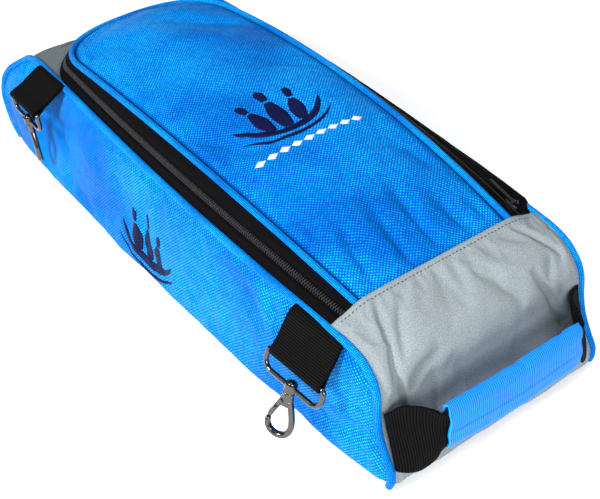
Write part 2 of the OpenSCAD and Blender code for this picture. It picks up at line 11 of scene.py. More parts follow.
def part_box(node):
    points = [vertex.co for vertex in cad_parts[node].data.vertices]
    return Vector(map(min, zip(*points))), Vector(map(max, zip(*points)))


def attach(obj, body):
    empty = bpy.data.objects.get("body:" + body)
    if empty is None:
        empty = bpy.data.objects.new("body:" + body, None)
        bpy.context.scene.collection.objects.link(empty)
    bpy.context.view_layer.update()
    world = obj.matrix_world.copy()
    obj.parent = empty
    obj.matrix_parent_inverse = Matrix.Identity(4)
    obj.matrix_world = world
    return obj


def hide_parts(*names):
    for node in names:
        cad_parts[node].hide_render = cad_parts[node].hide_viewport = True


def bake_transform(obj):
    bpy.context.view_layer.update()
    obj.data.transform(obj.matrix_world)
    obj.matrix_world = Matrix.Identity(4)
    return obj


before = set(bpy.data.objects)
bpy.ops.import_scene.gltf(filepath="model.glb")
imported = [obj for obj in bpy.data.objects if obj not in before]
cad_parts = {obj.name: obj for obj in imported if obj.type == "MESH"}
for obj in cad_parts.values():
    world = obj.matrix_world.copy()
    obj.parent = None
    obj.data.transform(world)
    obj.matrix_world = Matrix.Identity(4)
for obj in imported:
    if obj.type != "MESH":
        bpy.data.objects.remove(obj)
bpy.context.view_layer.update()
MM = 0.001
SIDES = (("front", -1), ("back", 1))


# ---- sizes, from the frame (millimetres) ---------------------------------------------------
def node_box(name):
    low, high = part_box(name)
    return np.array(low) / MM, np.array(high) / MM


piping_low, piping_high = node_box("side_piping_front")
FAR_X = piping_low[0]
NEAR_X = piping_high[0]
SEAM_H = piping_high[2]
BASE_HALF = 117.0
SEAM_HALF = 104.0
PIPING_R = 3.0
LID_PIPING_R = 2.7
HINGE_X, HINGE_Z = 212.0, 114.0
LID_L = 448.0
LID_END_L = 74.0
LID_END_X = HINGE_X - LID_L - 3 + LID_END_L
LID_ARCH = 18.0
LID_CROWN = 8.0
# The lid's fabric hinge in metres: start and end of the fold given to the lid's pieces, from the root to the
# lid
LID_FOLD = ((0.2185, 0, 0.114), (0.2045, 0, 0.114))
ZIP_R = 1580.0
ZIP_TILT = math.radians(42)
ZIP_TOP = (93.5, 118.0)

# Outline of a side panel: far end, top and near end, as [x, z] from the end it belongs to
FAR_ARCH = [(24, 3.2), (12, 9), (4, 20), (0.5, 36), (0, 45), (0.8, 54), (3, 63), (11, 74), (21, 83),
            (33, 92), (46, 100), (68, 105), (118, 107)]
NEAR_ARCH = [(-70, 0), (-51, -1), (-37, -5), (-29, -11), (-23, -18), (-19, -29), (-17.5, -47),
             (-14, -63), (-7, -77), (-1, -87), (0, -94), (-0.2, -99), (-2, -104.8)]
# The far end is wider than the straight line from base to seam by this much: [z, width]
FLARE = [(0, 0), (17, 3.8), (40, 9), (55, 10.2), (75, 9.4), (84, 6.6), (94, 1), (104, 0)]
TOP_X = (-110, -40, 30, 100, 160)
OUTLINE = ([(FAR_X + x, z) for x, z in FAR_ARCH] + [(x, SEAM_H) for x in TOP_X]
           + [(NEAR_X + x, SEAM_H + z) for x, z in NEAR_ARCH])


# ---- curve and noise tools -----------------------------------------------------------------
def coords(*parts):
    """Coordinates side by side, after spreading them all to one shape."""
    return np.stack(np.broadcast_arrays(*parts), -1)


def unit(vectors):
    return vectors / np.linalg.norm(vectors, axis=-1, keepdims=True)


def smoothstep(low, high, x):
    t = np.clip((np.asarray(x, float) - low) / (high - low), 0, 1)
    return t * t * (3 - 2 * t)


def lengths_along(points):
    steps = np.linalg.norm(np.diff(points, axis=0), axis=1)
    return np.concatenate([[0], np.cumsum(steps)])


def at_lengths(points, wanted):
    s = lengths_along(points)
    return coords(*[np.interp(wanted, s, column) for column in points.T])


def resample(points, count):
    """The same path with evenly spaced points."""
    points = np.asarray(points, float)
    return at_lengths(points, np.linspace(0, lengths_along(points)[-1], count))


def smooth_path(points, count):
    """Catmull-Rom curve through points, evenly spaced."""
    p = np.asarray(points, float)
    p = np.vstack([2 * p[0] - p[1], p, 2 * p[-1] - p[-2]])
    t = np.linspace(0, 1, 12, endpoint=False)[:, None]
    out = []
    for a, b, c, d in zip(p[:-3], p[1:-2], p[2:-1], p[3:]):
        out.append(0.5 * (2 * b + (c - a) * t + (2 * a - 5 * b + 4 * c - d) * t ** 2
                          + (3 * b - a - 3 * c + d) * t ** 3))
    return resample(np.vstack(out + [p[-2:-1]]), count)


def tangents(path):
    return unit(np.gradient(path, axis=0))


def inwards(path, d):
    """A 2-D path moved to its right side by d."""
    t = tangents(path)
    return path + d * coords(t[:, 1], -t[:, 0])


def waves(points, scale, seed):
    """Smooth seeded waviness between about -1 and 1; scale is the longest wave in millimetres."""
    rng = np.random.default_rng(seed)
    total = np.zeros(points.shape[:-1])
    for k in range(5):
        direction = unit(rng.normal(size=points.shape[-1]))
        size = scale / (1 + 0.55 * k)
        total += np.sin(points @ direction * 2 * math.pi / size + rng.uniform(0, 6.3)) / (1 + 0.5 * k)
    return total / 2.2


def creases(points, folds):
    """Depth of soft creases that fade out towards both ends: each has its two ends, width and depth."""
    total = 0
    for start, end, width, depth in folds:
        a, b = np.asarray(start, float), np.asarray(end, float)
        t = ((points - a) @ (b - a)) / np.linalg.norm(b - a) ** 2
        across = np.linalg.norm((points - a) - t[..., None] * (b - a), axis=-1)
        along = smoothstep(-0.15, 0.35, t) * (1 - smoothstep(0.65, 1.15, t))
        total = total + depth * along * np.exp(-(across / width) ** 2)
    return total


def oval(count, power):
    """Points round a unit circle that is squarer the higher its power."""
    a = np.linspace(0, 2 * math.pi, count, endpoint=False)
    c, s = np.cos(a), np.sin(a)
    r = (np.abs(c) ** power + np.abs(s) ** power) ** (-1 / power)
    return r * c, r * s


# ---- shape of the body ---------------------------------------------------------------------
def base_half(x):
    s = x / NEAR_X
    return BASE_HALF - 7 * s - 9 * s * s


def seam_half(x):
    s = x / NEAR_X
    return SEAM_HALF + 1.5 * s - 10.5 * s * s


def flare(x, z):
    curve = smooth_path(FLARE, 90)
    return (1 - smoothstep(FAR_X + 39, FAR_X + 169, x)) * np.interp(z, curve[:, 0], curve[:, 1])


def body_half(x, z):
    return base_half(x) + (seam_half(x) - base_half(x)) * z / SEAM_H + flare(x, z)


def lid_bow(x):
    s = x / HINGE_X
    return 82 - 3.5 * s - 6.5 * s * s


def lid_span(x):
    return (x - (HINGE_X * 2 - LID_L) / 2) / (LID_L / 2)


def lid_edge_z(x):
    return HINGE_Z + LID_ARCH * np.clip(1 - lid_span(x) ** 2, -0.03, None)


def lid_z(x, v):
    return lid_edge_z(x) + LID_CROWN * (1 - lid_span(x) ** 4) * (1 - v ** 2)


outline = smooth_path(OUTLINE, 260)


# ---- mesh tools ------------------------------------------------------------------------------
def mesh_object(name, points, faces, material, cloth):
    """Object from points in millimetres. cloth holds flat cloth coordinates for the weave."""
    mesh = bpy.data.meshes.new(name)
    mesh.from_pydata((np.asarray(points, float) * MM).tolist(), [], faces)
    flat = np.zeros((len(points), 3), np.float32)
    flat[:, :2] = cloth
    mesh.attributes.new("cloth", "FLOAT_VECTOR", "POINT").data.foreach_set("vector", flat.ravel())
    mesh.polygons.foreach_set("use_smooth", [True] * len(mesh.polygons))
    mesh.materials.append(material)
    mesh.update()
    return link(bpy.data.objects.new(name, mesh))


def link(obj):
    bpy.context.scene.collection.objects.link(obj)
    return obj


def grid_faces(rows, cols, wrap=False, flip=False, ring=False):
    """Faces of a grid. wrap joins its last column to its first, and ring its last row."""
    faces = []
    for r in range(rows if ring else rows - 1):
        for c in range(cols if wrap else cols - 1):
            d, below = (c + 1) % cols, (r + 1) % rows
            face = (r * cols + c, r * cols + d, below * cols + d, below * cols + c)
            faces.append(face[::-1] if flip else face)
    return faces


def grid_object(name, grid, material, thick, flip=False, cloth=None, offset=-1):
    """Sheet of fabric from a grid of points, with a real thickness behind its face. Without cloth
    coordinates it gets the mean distances along its rows and columns."""
    rows, cols = grid.shape[:2]
    if cloth is None:
        across = np.mean([lengths_along(r) for r in grid], axis=0)
        down = np.mean([lengths_along(grid[:, c]) for c in range(cols)], axis=0)
        cloth = coords(across - across.mean(), (down - down.mean())[:, None])
    obj = mesh_object(name, grid.reshape(-1, 3), grid_faces(rows, cols, flip=flip), material,
                      cloth.reshape(-1, 2))
    thicken(obj, thick, offset)
    return obj


def thicken(obj, thick, offset=-1):
    solid = obj.modifiers.new("thickness", "SOLIDIFY")
    solid.thickness = thick * MM
    solid.offset = offset
    solid.use_even_offset = False


def shade_seam(obj, distance, inner, outer):
    """Marks the shadowed line where a panel dips into its seam, as a seam weight that the fabric's material
    paints darker as painted shade.
    """
    weight = 1 - smoothstep(inner, outer, distance.ravel())
    attribute = obj.data.attributes.new("seam", "FLOAT", "POINT")
    attribute.data.foreach_set("value", weight.astype(np.float32))


def recalculate(obj):
    bm = bmesh.new()
    bm.from_mesh(obj.data)
    bmesh.ops.recalc_face_normals(bm, faces=bm.faces)
    bm.to_mesh(obj.data)
    bm.free()


class Shells:
    """Tubes and sheets gathered into one object, with their cloth coordinates."""

    def __init__(self):
        self.points, self.faces, self.cloth = [], [], []

    def add(self, grid, cloth=(0, 0), closed=True):
        """A tube of rings closed at both ends, or else an open sheet."""
        rows, sides = grid.shape[:2]
        base = len(self.points)
        self.points += grid.reshape(-1, 3).tolist()
        self.cloth += np.broadcast_to(cloth, (rows, sides, 2)).reshape(-1, 2).tolist()
        faces = grid_faces(rows, sides, wrap=closed)
        if closed:
            faces += [tuple(range(sides))[::-1], tuple((rows - 1) * sides + c for c in range(sides))]
        self.faces += [tuple(base + i for i in f) for f in faces]

    def build(self, name, material, place=np.array):
        obj = mesh_object(name, place(self.points), self.faces, material, self.cloth)
        recalculate(obj)
        return obj


def tube_points(path, radius, sides, across):
    """Rings round a 3-D path. across is a direction the path never runs along."""
    t = tangents(path)
    v = unit(np.cross(t, across))
    u = np.cross(v, t)
    radius = np.broadcast_to(radius, (len(path),))
    a = np.linspace(0, 2 * math.pi, sides, endpoint=False)
    ring = np.cos(a)[None, :, None] * u[:, None] + np.sin(a)[None, :, None] * v[:, None]
    return path[:, None] + radius[:, None, None] * ring


def cord_object(name, path, radius, material, across):
    """Piping: a round cord along a path, closed at its ends."""
    sides = 16
    girth = np.linspace(0, 2 * math.pi, sides, endpoint=False) * radius
    cord = Shells()
    cord.add(tube_points(path, radius, sides, across), coords(girth, lengths_along(path)[:, None]))
    return cord.build(name, material)


def belongs(obj, *nodes, body="root", fold=None, slot=None, fill=None):
    """Hides the CAD nodes a piece stands for and parents it to the empty of the body it rides on. With a
    fold, the start and end of a bend from the root to the body, its transform is only baked into its mesh
    instead, and no bend is made. A slot is worked out from its material's name if no other is given, but it
    is not kept.
    fill, how tight a padded piece is, is not used."""
    if fold:
        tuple(fold[0])
        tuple(fold[1])
        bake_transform(obj)
    else:
        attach(obj, body)
    if nodes:
        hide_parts(*nodes)
    slot or obj.data.materials[0].name.split(".")[0]
    return obj


# ---- cloth simulation ------------------------------------------------------------------------
def settle(obj, pinned, growth, pressure, cap, stiffness=12.0, bending=1.0):
    """Lets a panel find its own shape between its seams: pinned is a 0..1 weight per point,
    growth is how much the cloth is larger than its frame, and cap is the furthest any point
    may move, in millimetres. The result is written to the mesh."""
    saved = [m.show_viewport for m in obj.modifiers]
    for m in obj.modifiers:
        m.show_viewport = False
    group = obj.vertex_groups.new(name="pin")
    for i, w in enumerate(pinned.ravel()):
        group.add([i], float(w), "REPLACE")
    cloth = obj.modifiers.new("cloth", "CLOTH")
    s = cloth.settings
    s.quality = 6
    s.mass = 0.25
    s.tension_stiffness = s.compression_stiffness = stiffness
    s.shear_stiffness = stiffness * 0.4
    s.bending_stiffness = bending
    s.tension_damping = s.compression_damping = s.shear_damping = 12
    s.air_damping = 6
    s.vertex_group_mass = "pin"
    s.shrink_min = -growth
    s.use_pressure = True
    s.uniform_pressure_force = pressure
    s.effector_weights.gravity = 0
    frames = 24
    cloth.point_cache.frame_start = 1
    cloth.point_cache.frame_end = frames
    scene = bpy.context.scene
    for f in range(1, frames + 1):
        scene.frame_set(f)
    result = obj.evaluated_get(bpy.context.evaluated_depsgraph_get())
    before, after = np.zeros((2, len(obj.data.vertices) * 3))
    obj.data.vertices.foreach_get("co", before)
    result.data.vertices.foreach_get("co", after)
    before, after = before.reshape(-1, 3), after.reshape(-1, 3)
    move = after - before
    far = np.linalg.norm(move, axis=1)
    limit = cap * MM
    scale = np.where(far > 1e-9, limit * np.tanh(far / limit) / np.maximum(far, 1e-9), 1.0)
    obj.modifiers.remove(cloth)
    obj.vertex_groups.remove(group)
    obj.data.vertices.foreach_set("co", (before + move * scale[:, None]).ravel())
    obj.data.update()
    for m, shown in zip(obj.modifiers, saved):
        m.show_viewport = shown
    scene.frame_set(1)


# ---- node helpers ----------------------------------------------------------------------------
class Nodes:
    """Short way to build a material's nodes."""

    def __init__(self, name):
        self.material = bpy.data.materials.new(name)
        self.material.use_nodes = True
        self.tree = self.material.node_tree
        self.shader = self.tree.nodes["Principled BSDF"]

    def new(self, kind):
        return self.tree.nodes.new("ShaderNode" + kind)

    def put(self, socket, value):
        if isinstance(value, bpy.types.NodeSocket):
            self.tree.links.new(value, socket)
        elif isinstance(value, tuple):
            socket.default_value = (*value, 1.0)
        elif value is not None:
            socket.default_value = value

    def math(self, operation, a, b=0.0, c=None):
        n = self.new("Math")
        n.operation = operation
        for socket, value in zip(n.inputs, (a, b, c)):
            self.put(socket, value)
        return n.outputs[0]

    def times(self, a, b):
        return self.math("MULTIPLY", a, b)

    def times_plus(self, a, b, c):
        return self.math("MULTIPLY_ADD", a, b, c)

    def cloth(self):
        """Cloth coordinates in millimetres: across, along, and both as a vector."""
        n = self.new("Attribute")
        n.attribute_name = "cloth"
        s = self.new("SeparateXYZ")
        self.put(s.inputs[0], n.outputs["Vector"])
        return s.outputs[0], s.outputs[1], n.outputs["Vector"]

    def attribute(self, name):
        n = self.new("Attribute")
        n.attribute_name = name
        return n.outputs["Fac"]

    def position(self):
        """Object coordinates in millimetres."""
        m = self.new("VectorMath")
        m.operation = "SCALE"
        self.put(m.inputs[0], self.new("TexCoord").outputs["Object"])
        m.inputs["Scale"].default_value = 1 / MM
        return m.outputs[0]

    def noise(self, vector, scale, detail=2.0, rough=0.5):
        n = self.new("TexNoise")
        for key, value in (("Vector", vector), ("Scale", scale), ("Detail", detail), ("Roughness", rough)):
            self.put(n.inputs[key], value)
        return n.outputs["Fac"]

    def mix(self, factor, a, b):
        n = self.new("Mix")
        n.data_type = "RGBA"
        for socket, value in ((n.inputs["Factor"], factor), (n.inputs[6], a), (n.inputs[7], b)):
            self.put(socket, value)
        return n.outputs[2]

    def span(self, value, low, high, to_low=0.0, to_high=1.0):
        n = self.new("MapRange")
        for socket, x in zip(n.inputs, (value, low, high, to_low, to_high)):
            self.put(socket, x)
        return n.outputs[0]

    def bump(self, height, distance, strength):
        n = self.new("Bump")
        for key, value in (("Strength", strength), ("Distance", distance * MM), ("Height", height)):
            self.put(n.inputs[key], value)
        return n.outputs[0]

    def wave(self, value, period):
        """0..1 sine of a length in millimetres."""
        return self.times_plus(self.math("SINE", self.times(value, 2 * math.pi / period)), 0.5, 0.5)

    def cell(self, u, v):
        """A random value from 0 to 1 for each whole-numbered cell."""
        c = self.new("CombineXYZ")
        self.put(c.inputs[0], u)
        self.put(c.inputs[1], v)
        n = self.new("TexWhiteNoise")
        n.noise_dimensions = "2D"
        self.put(n.inputs["Vector"], c.outputs[0])
        return n.outputs["Value"]

    def finish(self, colour, rough, normal=None, metallic=0.0, specular=0.5, tint=None):
        for key, value in (("Base Color", colour), ("Roughness", rough), ("Normal", normal),
                           ("Metallic", metallic), ("Specular IOR Level", specular),
                           ("Specular Tint", tint)):
            self.put(self.shader.inputs[key], value)
        return self.material


# ---- materials -------------------------------------------------------------------------------
def woven(name, dark, mid, light, cell, turn=0.0, rough=0.36, depth=0.34, specular=0.04, tint=None):
    """Plain weave: shiny yarns over and under in cells of a size in millimetres. The cells are painted as a
    fine checker: over-yarn cells lighter as a painted highlight, under-yarn cells darker as painted shade."""
    n = Nodes(name)
    u, v, flat = n.cloth()
    c, s = math.cos(turn), math.sin(turn)
    a = n.times_plus(u, c, n.times(v, s))
    b = n.times_plus(u, -s, n.times(v, c))
    ua = n.math("DIVIDE", n.times_plus(n.noise(flat, 0.05, 3), 2.4, a), cell)
    vb = n.math("DIVIDE", n.times_plus(n.noise(flat, 0.035, 2), 2.0, b), cell)
    row, col = n.math("FLOOR", vb), n.math("FLOOR", ua)
    odd = n.math("PINGPONG", n.math("ADD", row, col), 1.0)
    hump_u, hump_v = (n.math("SINE", n.times(n.math("FRACT", x), math.pi)) for x in (ua, vb))
    warp = n.times(n.math("POWER", hump_u, 0.5), n.times_plus(hump_v, 0.7, 0.3))
    weft = n.times(n.math("POWER", hump_v, 0.5), n.times_plus(hump_u, 0.7, 0.3))
    over = n.times(odd, warp)
    under = n.times(n.math("SUBTRACT", 1.0, odd), weft)
    height = n.math("ADD", over, under)
    chance = n.cell(row, col)
    # Painted shade: the low gaps between yarns are darker.
    colour = n.mix(n.span(height, 0.2, 0.85), dark, mid)
    # Painted highlight: the over-yarn cells are lightened towards the light colour.
    colour = n.mix(n.times(over, n.span(chance, 0, 1, 0.45, 1.0)), colour, light)
    # Painted shade: some under-yarn cells are darkened more.
    colour = n.mix(n.times(n.span(chance, 0.5, 1.0, 0.1, 0.6), under), colour, dark)
    # Painted shade: large random patches are darker, standing in for broad shading.
    colour = n.mix(n.span(n.noise(flat, 0.009, 3), 0.42, 0.64, 0.0, 0.5), colour, dark)
    # Painted shade: much darker along the seams, by the seam weight from shade_seam.
    colour = n.mix(n.times(n.attribute("seam"), 0.85), colour, tuple(c * 0.4 for c in dark))
    bumps = n.bump(n.times_plus(n.noise(flat, 5.0, 2), 0.18, height), depth, 1.0)
    gloss = n.span(n.times_plus(chance, 0.3, height), 0.0, 1.3, rough + 0.22, rough - 0.08)
    return n.finish(colour, gloss, bumps, specular=specular, tint=tint)


def ribbed(name, dark, light, period, depth, specular, rough=0.7):
    """Webbing or corded cloth: ribs square to the strip's length, with fine yarns on them. The grooves are
    painted darker as painted shade and the rib tops lighter as painted highlight.
    """
    n = Nodes(name)
    across, along, flat = n.cloth()
    rib = n.math("POWER", n.wave(n.times_plus(n.noise(flat, 0.25, 2), 0.5, along), period), 0.6)
    height = n.times_plus(n.wave(across, 0.9), 0.22, rib)
    bumps = n.bump(n.times_plus(n.noise(flat, 3.0, 3), 0.25, height), depth, 0.9)
    # Painted shade in the grooves, painted highlight on the rib tops.
    return n.finish(n.mix(n.span(height, 0.2, 1.1), dark, light),
                    n.span(height, 0, 1.2, rough + 0.12, rough - 0.06), bumps, specular=specular)


def twill(name, dark, light):
    """Fine gray polyester twill: diagonal ribs and a heathered tone, with the raised ribs painted lighter as
    painted highlight and large random patches darker.
    """
    n = Nodes(name)
    u, v, flat = n.cloth()
    rib = n.wave(n.times_plus(n.noise(flat, 0.6, 2), 0.7, n.math("ADD", u, v)), 0.9)
    height = n.times_plus(n.wave(n.math("SUBTRACT", u, v), 0.72), 0.35, rib)
    heather = n.noise(flat, 0.95, 4, 0.75)
    colour = n.mix(n.span(heather, 0.36, 0.64), dark, light)
    # Painted highlight: the raised ribs are lighter.
    colour = n.mix(n.span(height, 0.0, 1.3, 0.0, 0.35), colour, light)
    # Darker in large random patches.
    colour = n.mix(n.span(n.noise(flat, 0.018, 3), 0.3, 0.7, 0.0, 0.22), colour, dark)
    bumps = n.bump(n.times_plus(heather, 0.4, height), 0.16, 0.8)
    return n.finish(colour, n.span(heather, 0.2, 0.8, 0.67, 0.85), bumps, specular=0.04)


def fine_tape(name, dark, light):
    """Woven zipper tape: very fine ribs along the tape, with painted shade between the ribs."""
    n = Nodes(name)
    u, v, flat = n.cloth()
    height = n.times_plus(n.wave(v, 1.1), 0.5, n.wave(u, 0.8))
    bumps = n.bump(n.times_plus(n.noise(flat, 2.0, 3), 0.4, height), 0.14, 0.7)
    # Painted shade: the low parts between the ribs are darker.
    return n.finish(n.mix(n.span(height, 0.0, 1.5), dark, light), 0.72, bumps, specular=0.02)


def satin(name, dark, light, pitch=0.55):
    """Satin-stitch embroidery: parallel shiny threads across each column, with painted shade between the
    threads.
    """
    n = Nodes(name)
    _, v, flat = n.cloth()
    thread = n.wave(n.times_plus(n.noise(flat, 0.4, 2), 0.5, v), pitch)
    fibre = n.noise(flat, 4.0, 2)
    bumps = n.bump(n.times_plus(fibre, 0.3, thread), 0.16, 0.8)
    # Painted shade: the gaps between threads are darker.
    return n.finish(n.mix(n.span(thread, 0.0, 1.0), dark, light), n.span(fibre, 0.2, 0.8, 0.35, 0.55),
                    bumps, specular=0.06)


def metal(name, colour, rough):
    """Plated metal with fine scratches and slight tarnish."""
    n = Nodes(name)
    p = n.position()
    smudge = n.noise(p, 0.35, 4, 0.65)
    tone = n.mix(n.span(smudge, 0.35, 0.75, 0.0, 0.6), colour, tuple(c * 0.55 for c in colour))
    return n.finish(tone, n.span(smudge, 0.2, 0.8, rough, rough + 0.16),
                    n.bump(n.noise(p, 3.2, 3), 0.03, 0.25), metallic=1.0)


def plastic(name, colour, rough):
    n = Nodes(name)
    speck = n.noise(n.position(), 1.5, 3)
    tone = n.mix(n.span(speck, 0.3, 0.7, 0.0, 0.5), colour, tuple(c * 1.6 + 0.004 for c in colour))
    return n.finish(tone, n.span(speck, 0.2, 0.8, rough - 0.05, rough + 0.08),
                    n.bump(speck, 0.05, 0.4), specular=0.15)


# BLUE_MID is the nylon's own blue; BLUE_LIGHT is the painted highlight of the over-yarn cells and BLUE_DARK
# the painted shade of the gaps, under-yarn cells and seams.
BLUE_DARK, BLUE_MID, BLUE_LIGHT = (0.0, 0.020, 0.30), (0.001, 0.155, 0.87), (0.014, 0.74, 1.0)
CYAN = (0.05, 0.55, 1.0)
blue_nylon = woven("blue_nylon", BLUE_DARK, BLUE_MID, BLUE_LIGHT, 1.5, depth=0.45, tint=CYAN)
blue_piping = woven("blue_piping", BLUE_DARK, (0.001, 0.13, 0.78), BLUE_LIGHT, 0.9, math.radians(45),
                    depth=0.2, tint=CYAN)
blue_sleeve = ribbed("blue_sleeve", (0.0, 0.055, 0.48), (0.012, 0.33, 0.97), 1.7, 0.4, 0.15, rough=0.45)
gray_polyester = twill("gray_polyester", (0.14, 0.17, 0.185), (0.35, 0.40, 0.42))
# Painted shade: a darker copy of the gray twill for the far end panel, which faces away from the light.
gray_painted_shade = twill("gray_painted_shade", (0.065, 0.08, 0.085), (0.18, 0.21, 0.22))
black_webbing = ribbed("black_webbing", (0.0006, 0.0006, 0.0008), (0.0065, 0.0065, 0.007), 2.0, 0.5, 0.03)
zip_tape = fine_tape("zip_tape", (0.0012, 0.0012, 0.0015), (0.006, 0.006, 0.0065))
zip_coil = plastic("zip_coil", (0.026, 0.026, 0.028), 0.26)
lining_cloth = woven("lining_fabric", (0.002, 0.002, 0.0025), (0.008, 0.008, 0.009), (0.02, 0.02, 0.022),
                     0.5, depth=0.08, rough=0.5, specular=0.12)
base_cloth = woven("base_fabric", (0.002, 0.002, 0.002), (0.008, 0.008, 0.0085), (0.02, 0.02, 0.02), 1.1,
                   rough=0.55, specular=0.1)
navy_thread = satin("navy_thread", (0.001, 0.0015, 0.014), (0.006, 0.010, 0.075))
white_thread = satin("white_thread", (0.55, 0.56, 0.58), (0.9, 0.9, 0.9))
stitch_thread = satin("stitch_thread", (0.02, 0.025, 0.03), (0.06, 0.065, 0.075), 0.4)
nickel = metal("clasp_metal", (0.12, 0.11, 0.101), 0.10)
slider_metal = metal("slider_metal", (0.025, 0.025, 0.027), 0.3)
pull_coating = plastic("pull_coating", (0.009, 0.009, 0.01), 0.3)
steel_spring = metal("spring_steel", (0.45, 0.45, 0.45), 0.25)


# ---- side panels and piping ------------------------------------------------------------------
def coons(bottom, top, left, right, rows, cols):
    """Grid of points inside four 2-D boundary curves."""
    b, t = resample(bottom, cols), resample(top, cols)
    l, r = resample(left, rows), resample(right, rows)
    u = np.linspace(0, 1, cols)[None, :, None]
    v = np.linspace(0, 1, rows)[:, None, None]
    ruled = (1 - v) * b[None] + v * t[None] + (1 - u) * l[:, None] + u * r[:, None]
    return ruled - ((1 - u) * (1 - v) * b[0] + u * (1 - v) * b[-1] + (1 - u) * v * t[0] + u * v * t[-1])


def distance_to(path, points):
    best = np.full(points.shape[:-1], 1e9)
    for x, y in path:
        best = np.minimum(best, np.hypot(points[..., 0] - x, points[..., 1] - y))
    return best


SHOULDER_Z, SHOULDER_X = 80, NEAR_X - 25
# Creases of the front panel in its own plane: start, end, width and depth in millimetres
SIDE_FOLDS = [((-205, 82), (-150, 36), 9, 3.2), ((-178, 70), (-120, 84), 6, 2.6),
              ((-230, 60), (-200, 20), 9, 2.4), ((-150, 88), (-95, 60), 9, -2.2),
              ((188, 14), (282, 48), 7, 2.8), ((120, 86), (158, 50), 8, 1.8),
              ((40, 30), (120, 92), 12, 2.2), ((175, 60), (150, 96), 7, 2.0),
              ((-100, 16), (-40, 70), 14, 1.8), ((-70, 30), (-10, 60), 13, 1.8),
              ((262, 40), (268, 84), 6, 2.0), ((200, 40), (236, 12), 8, 1.8)]


def side_surface_y(x, z, edge):
    """Half width of the finished side panel, with its pillow, its seams and its soft waves."""
    in_seam = 3.2 * (1 - smoothstep(0, 11, edge))
    pillow = 2.8 * smoothstep(0, 60, edge)
    foot = 5.0 * (1 - smoothstep(0, 9, z)) ** 2
    plane = coords(x, z * 1.6)
    sag = waves(plane, 210, 11) * 1.5 * smoothstep(4, 40, edge)
    crumple = waves(plane, 70, 12) * 0.5 * smoothstep(4, 30, edge)
    folds = creases(coords(x, z), SIDE_FOLDS) * smoothstep(3, 18, edge)
    # The padding gives way a little behind the far hook
    dip = 4.2 * np.exp(-((x + 196) / 27) ** 2 - ((z - 46) / 32) ** 2)
    return body_half(x, z) - in_seam + pillow - foot + sag + crumple - folds - dip


def side_panel(name, side):
    rim = inwards(outline, 3.6)
    first = int(np.argmax(rim[:, 1] > SHOULDER_Z))
    last = int(np.argmax(rim[:, 0] > SHOULDER_X))
    low = 2.2
    left = np.vstack([[rim[0][0] + 2.0, low], rim[:first + 1]])
    right = np.vstack([[rim[-1][0] - 1.0, low], rim[last:][::-1]])
    bottom = coords(np.linspace(left[0][0], right[0][0], 50), low)
    plan = coons(bottom, rim[first:last + 1], left, right, 56, 210)
    x, z = plan[..., 0], plan[..., 1]
    edge = distance_to(rim, plan)
    obj = grid_object(f"side_panel_{name}_fabric", coords(x, side * side_surface_y(x, z, edge), z),
                      blue_nylon, 1.2, flip=side > 0, cloth=plan)
    shade_seam(obj, edge, 0.8, 2.6)
    settle(obj, np.maximum(1 - smoothstep(1, 10, edge), 1 - smoothstep(3, 14, z)), 0.012, 0.6, 3.0)
    return belongs(obj, f"side_panel_{name}", f"side_foam_{name}", fill=0.5)


def side_piping(name, side):
    x, z = inwards(outline, PIPING_R).T
    line = coords(x, side * (body_half(x, z) - PIPING_R + 0.4), z)
    obj = cord_object(f"side_piping_{name}_cord", line, PIPING_R, blue_piping, (0, 1, 0))
    belongs(obj, f"side_piping_{name}")


# ---- end panels ------------------------------------------------------------------------------
class EndPanel:
    """Gray panel that follows a path of [x, z] down an end of the bag, between the side seams. side
    is 1 at the near end and -1 at the far end."""

    def __init__(self, path, cols, slack, side):
        self.x, self.z = path[:, 0][:, None], path[:, 1][:, None]
        v = np.linspace(-1, 1, cols)
        half = body_half(self.x, self.z) - PIPING_R + slack
        self.y = half * v
        self.edge = (1 - np.abs(v)) * half
        self.s = lengths_along(path)[:, None]
        self.plane = coords(self.y, self.s)
        t = tangents(path)
        self.out_x, self.out_z = side * -t[:, 1][:, None], side * t[:, 0][:, None]

    def surface(self, puff, rise=0.0, foot=0.0):
        """The panel moved outwards by puff, then up by rise, and drawn in by foot at its base."""
        z = self.z + puff * self.out_z + rise
        return coords(self.x + puff * self.out_x - foot * (1 - smoothstep(0, 9, z)) ** 2, self.y, z)

    def pinned(self, low, high):
        """Held at its seams, at its foot, and at its top as far as a run from low to high."""
        top = 1 - smoothstep(low, high, self.s)
        foot = 1 - smoothstep(0, 12, self.s[-1] - self.s)
        return np.maximum(np.maximum(1 - smoothstep(1, 9, self.edge), top), foot)


FLAP_X = HINGE_X + 2.5
# Creases of the near panel: [across, distance down from the flap] start and end, width, depth
NEAR_FOLDS = [((-62, 4), (-86, 74), 3.4, 3.6), ((-50, 14), (-68, 48), 5, 2.6),
              ((-78, 40), (-74, 108), 3.2, 2.6), ((14, 22), (40, 66), 7, 2.8),
              ((52, 46), (76, 96), 4.5, 3.0), ((-30, 56), (-18, 122), 6, 2.2),
              ((64, 6), (86, 46), 4.5, 2.6), ((-90, 82), (-62, 94), 3, 2.0),
              ((0, 96), (52, 100), 7, 1.8), ((30, 60), (24, 112), 5, 1.8), ((-48, 70), (-56, 112), 4, 1.6)]


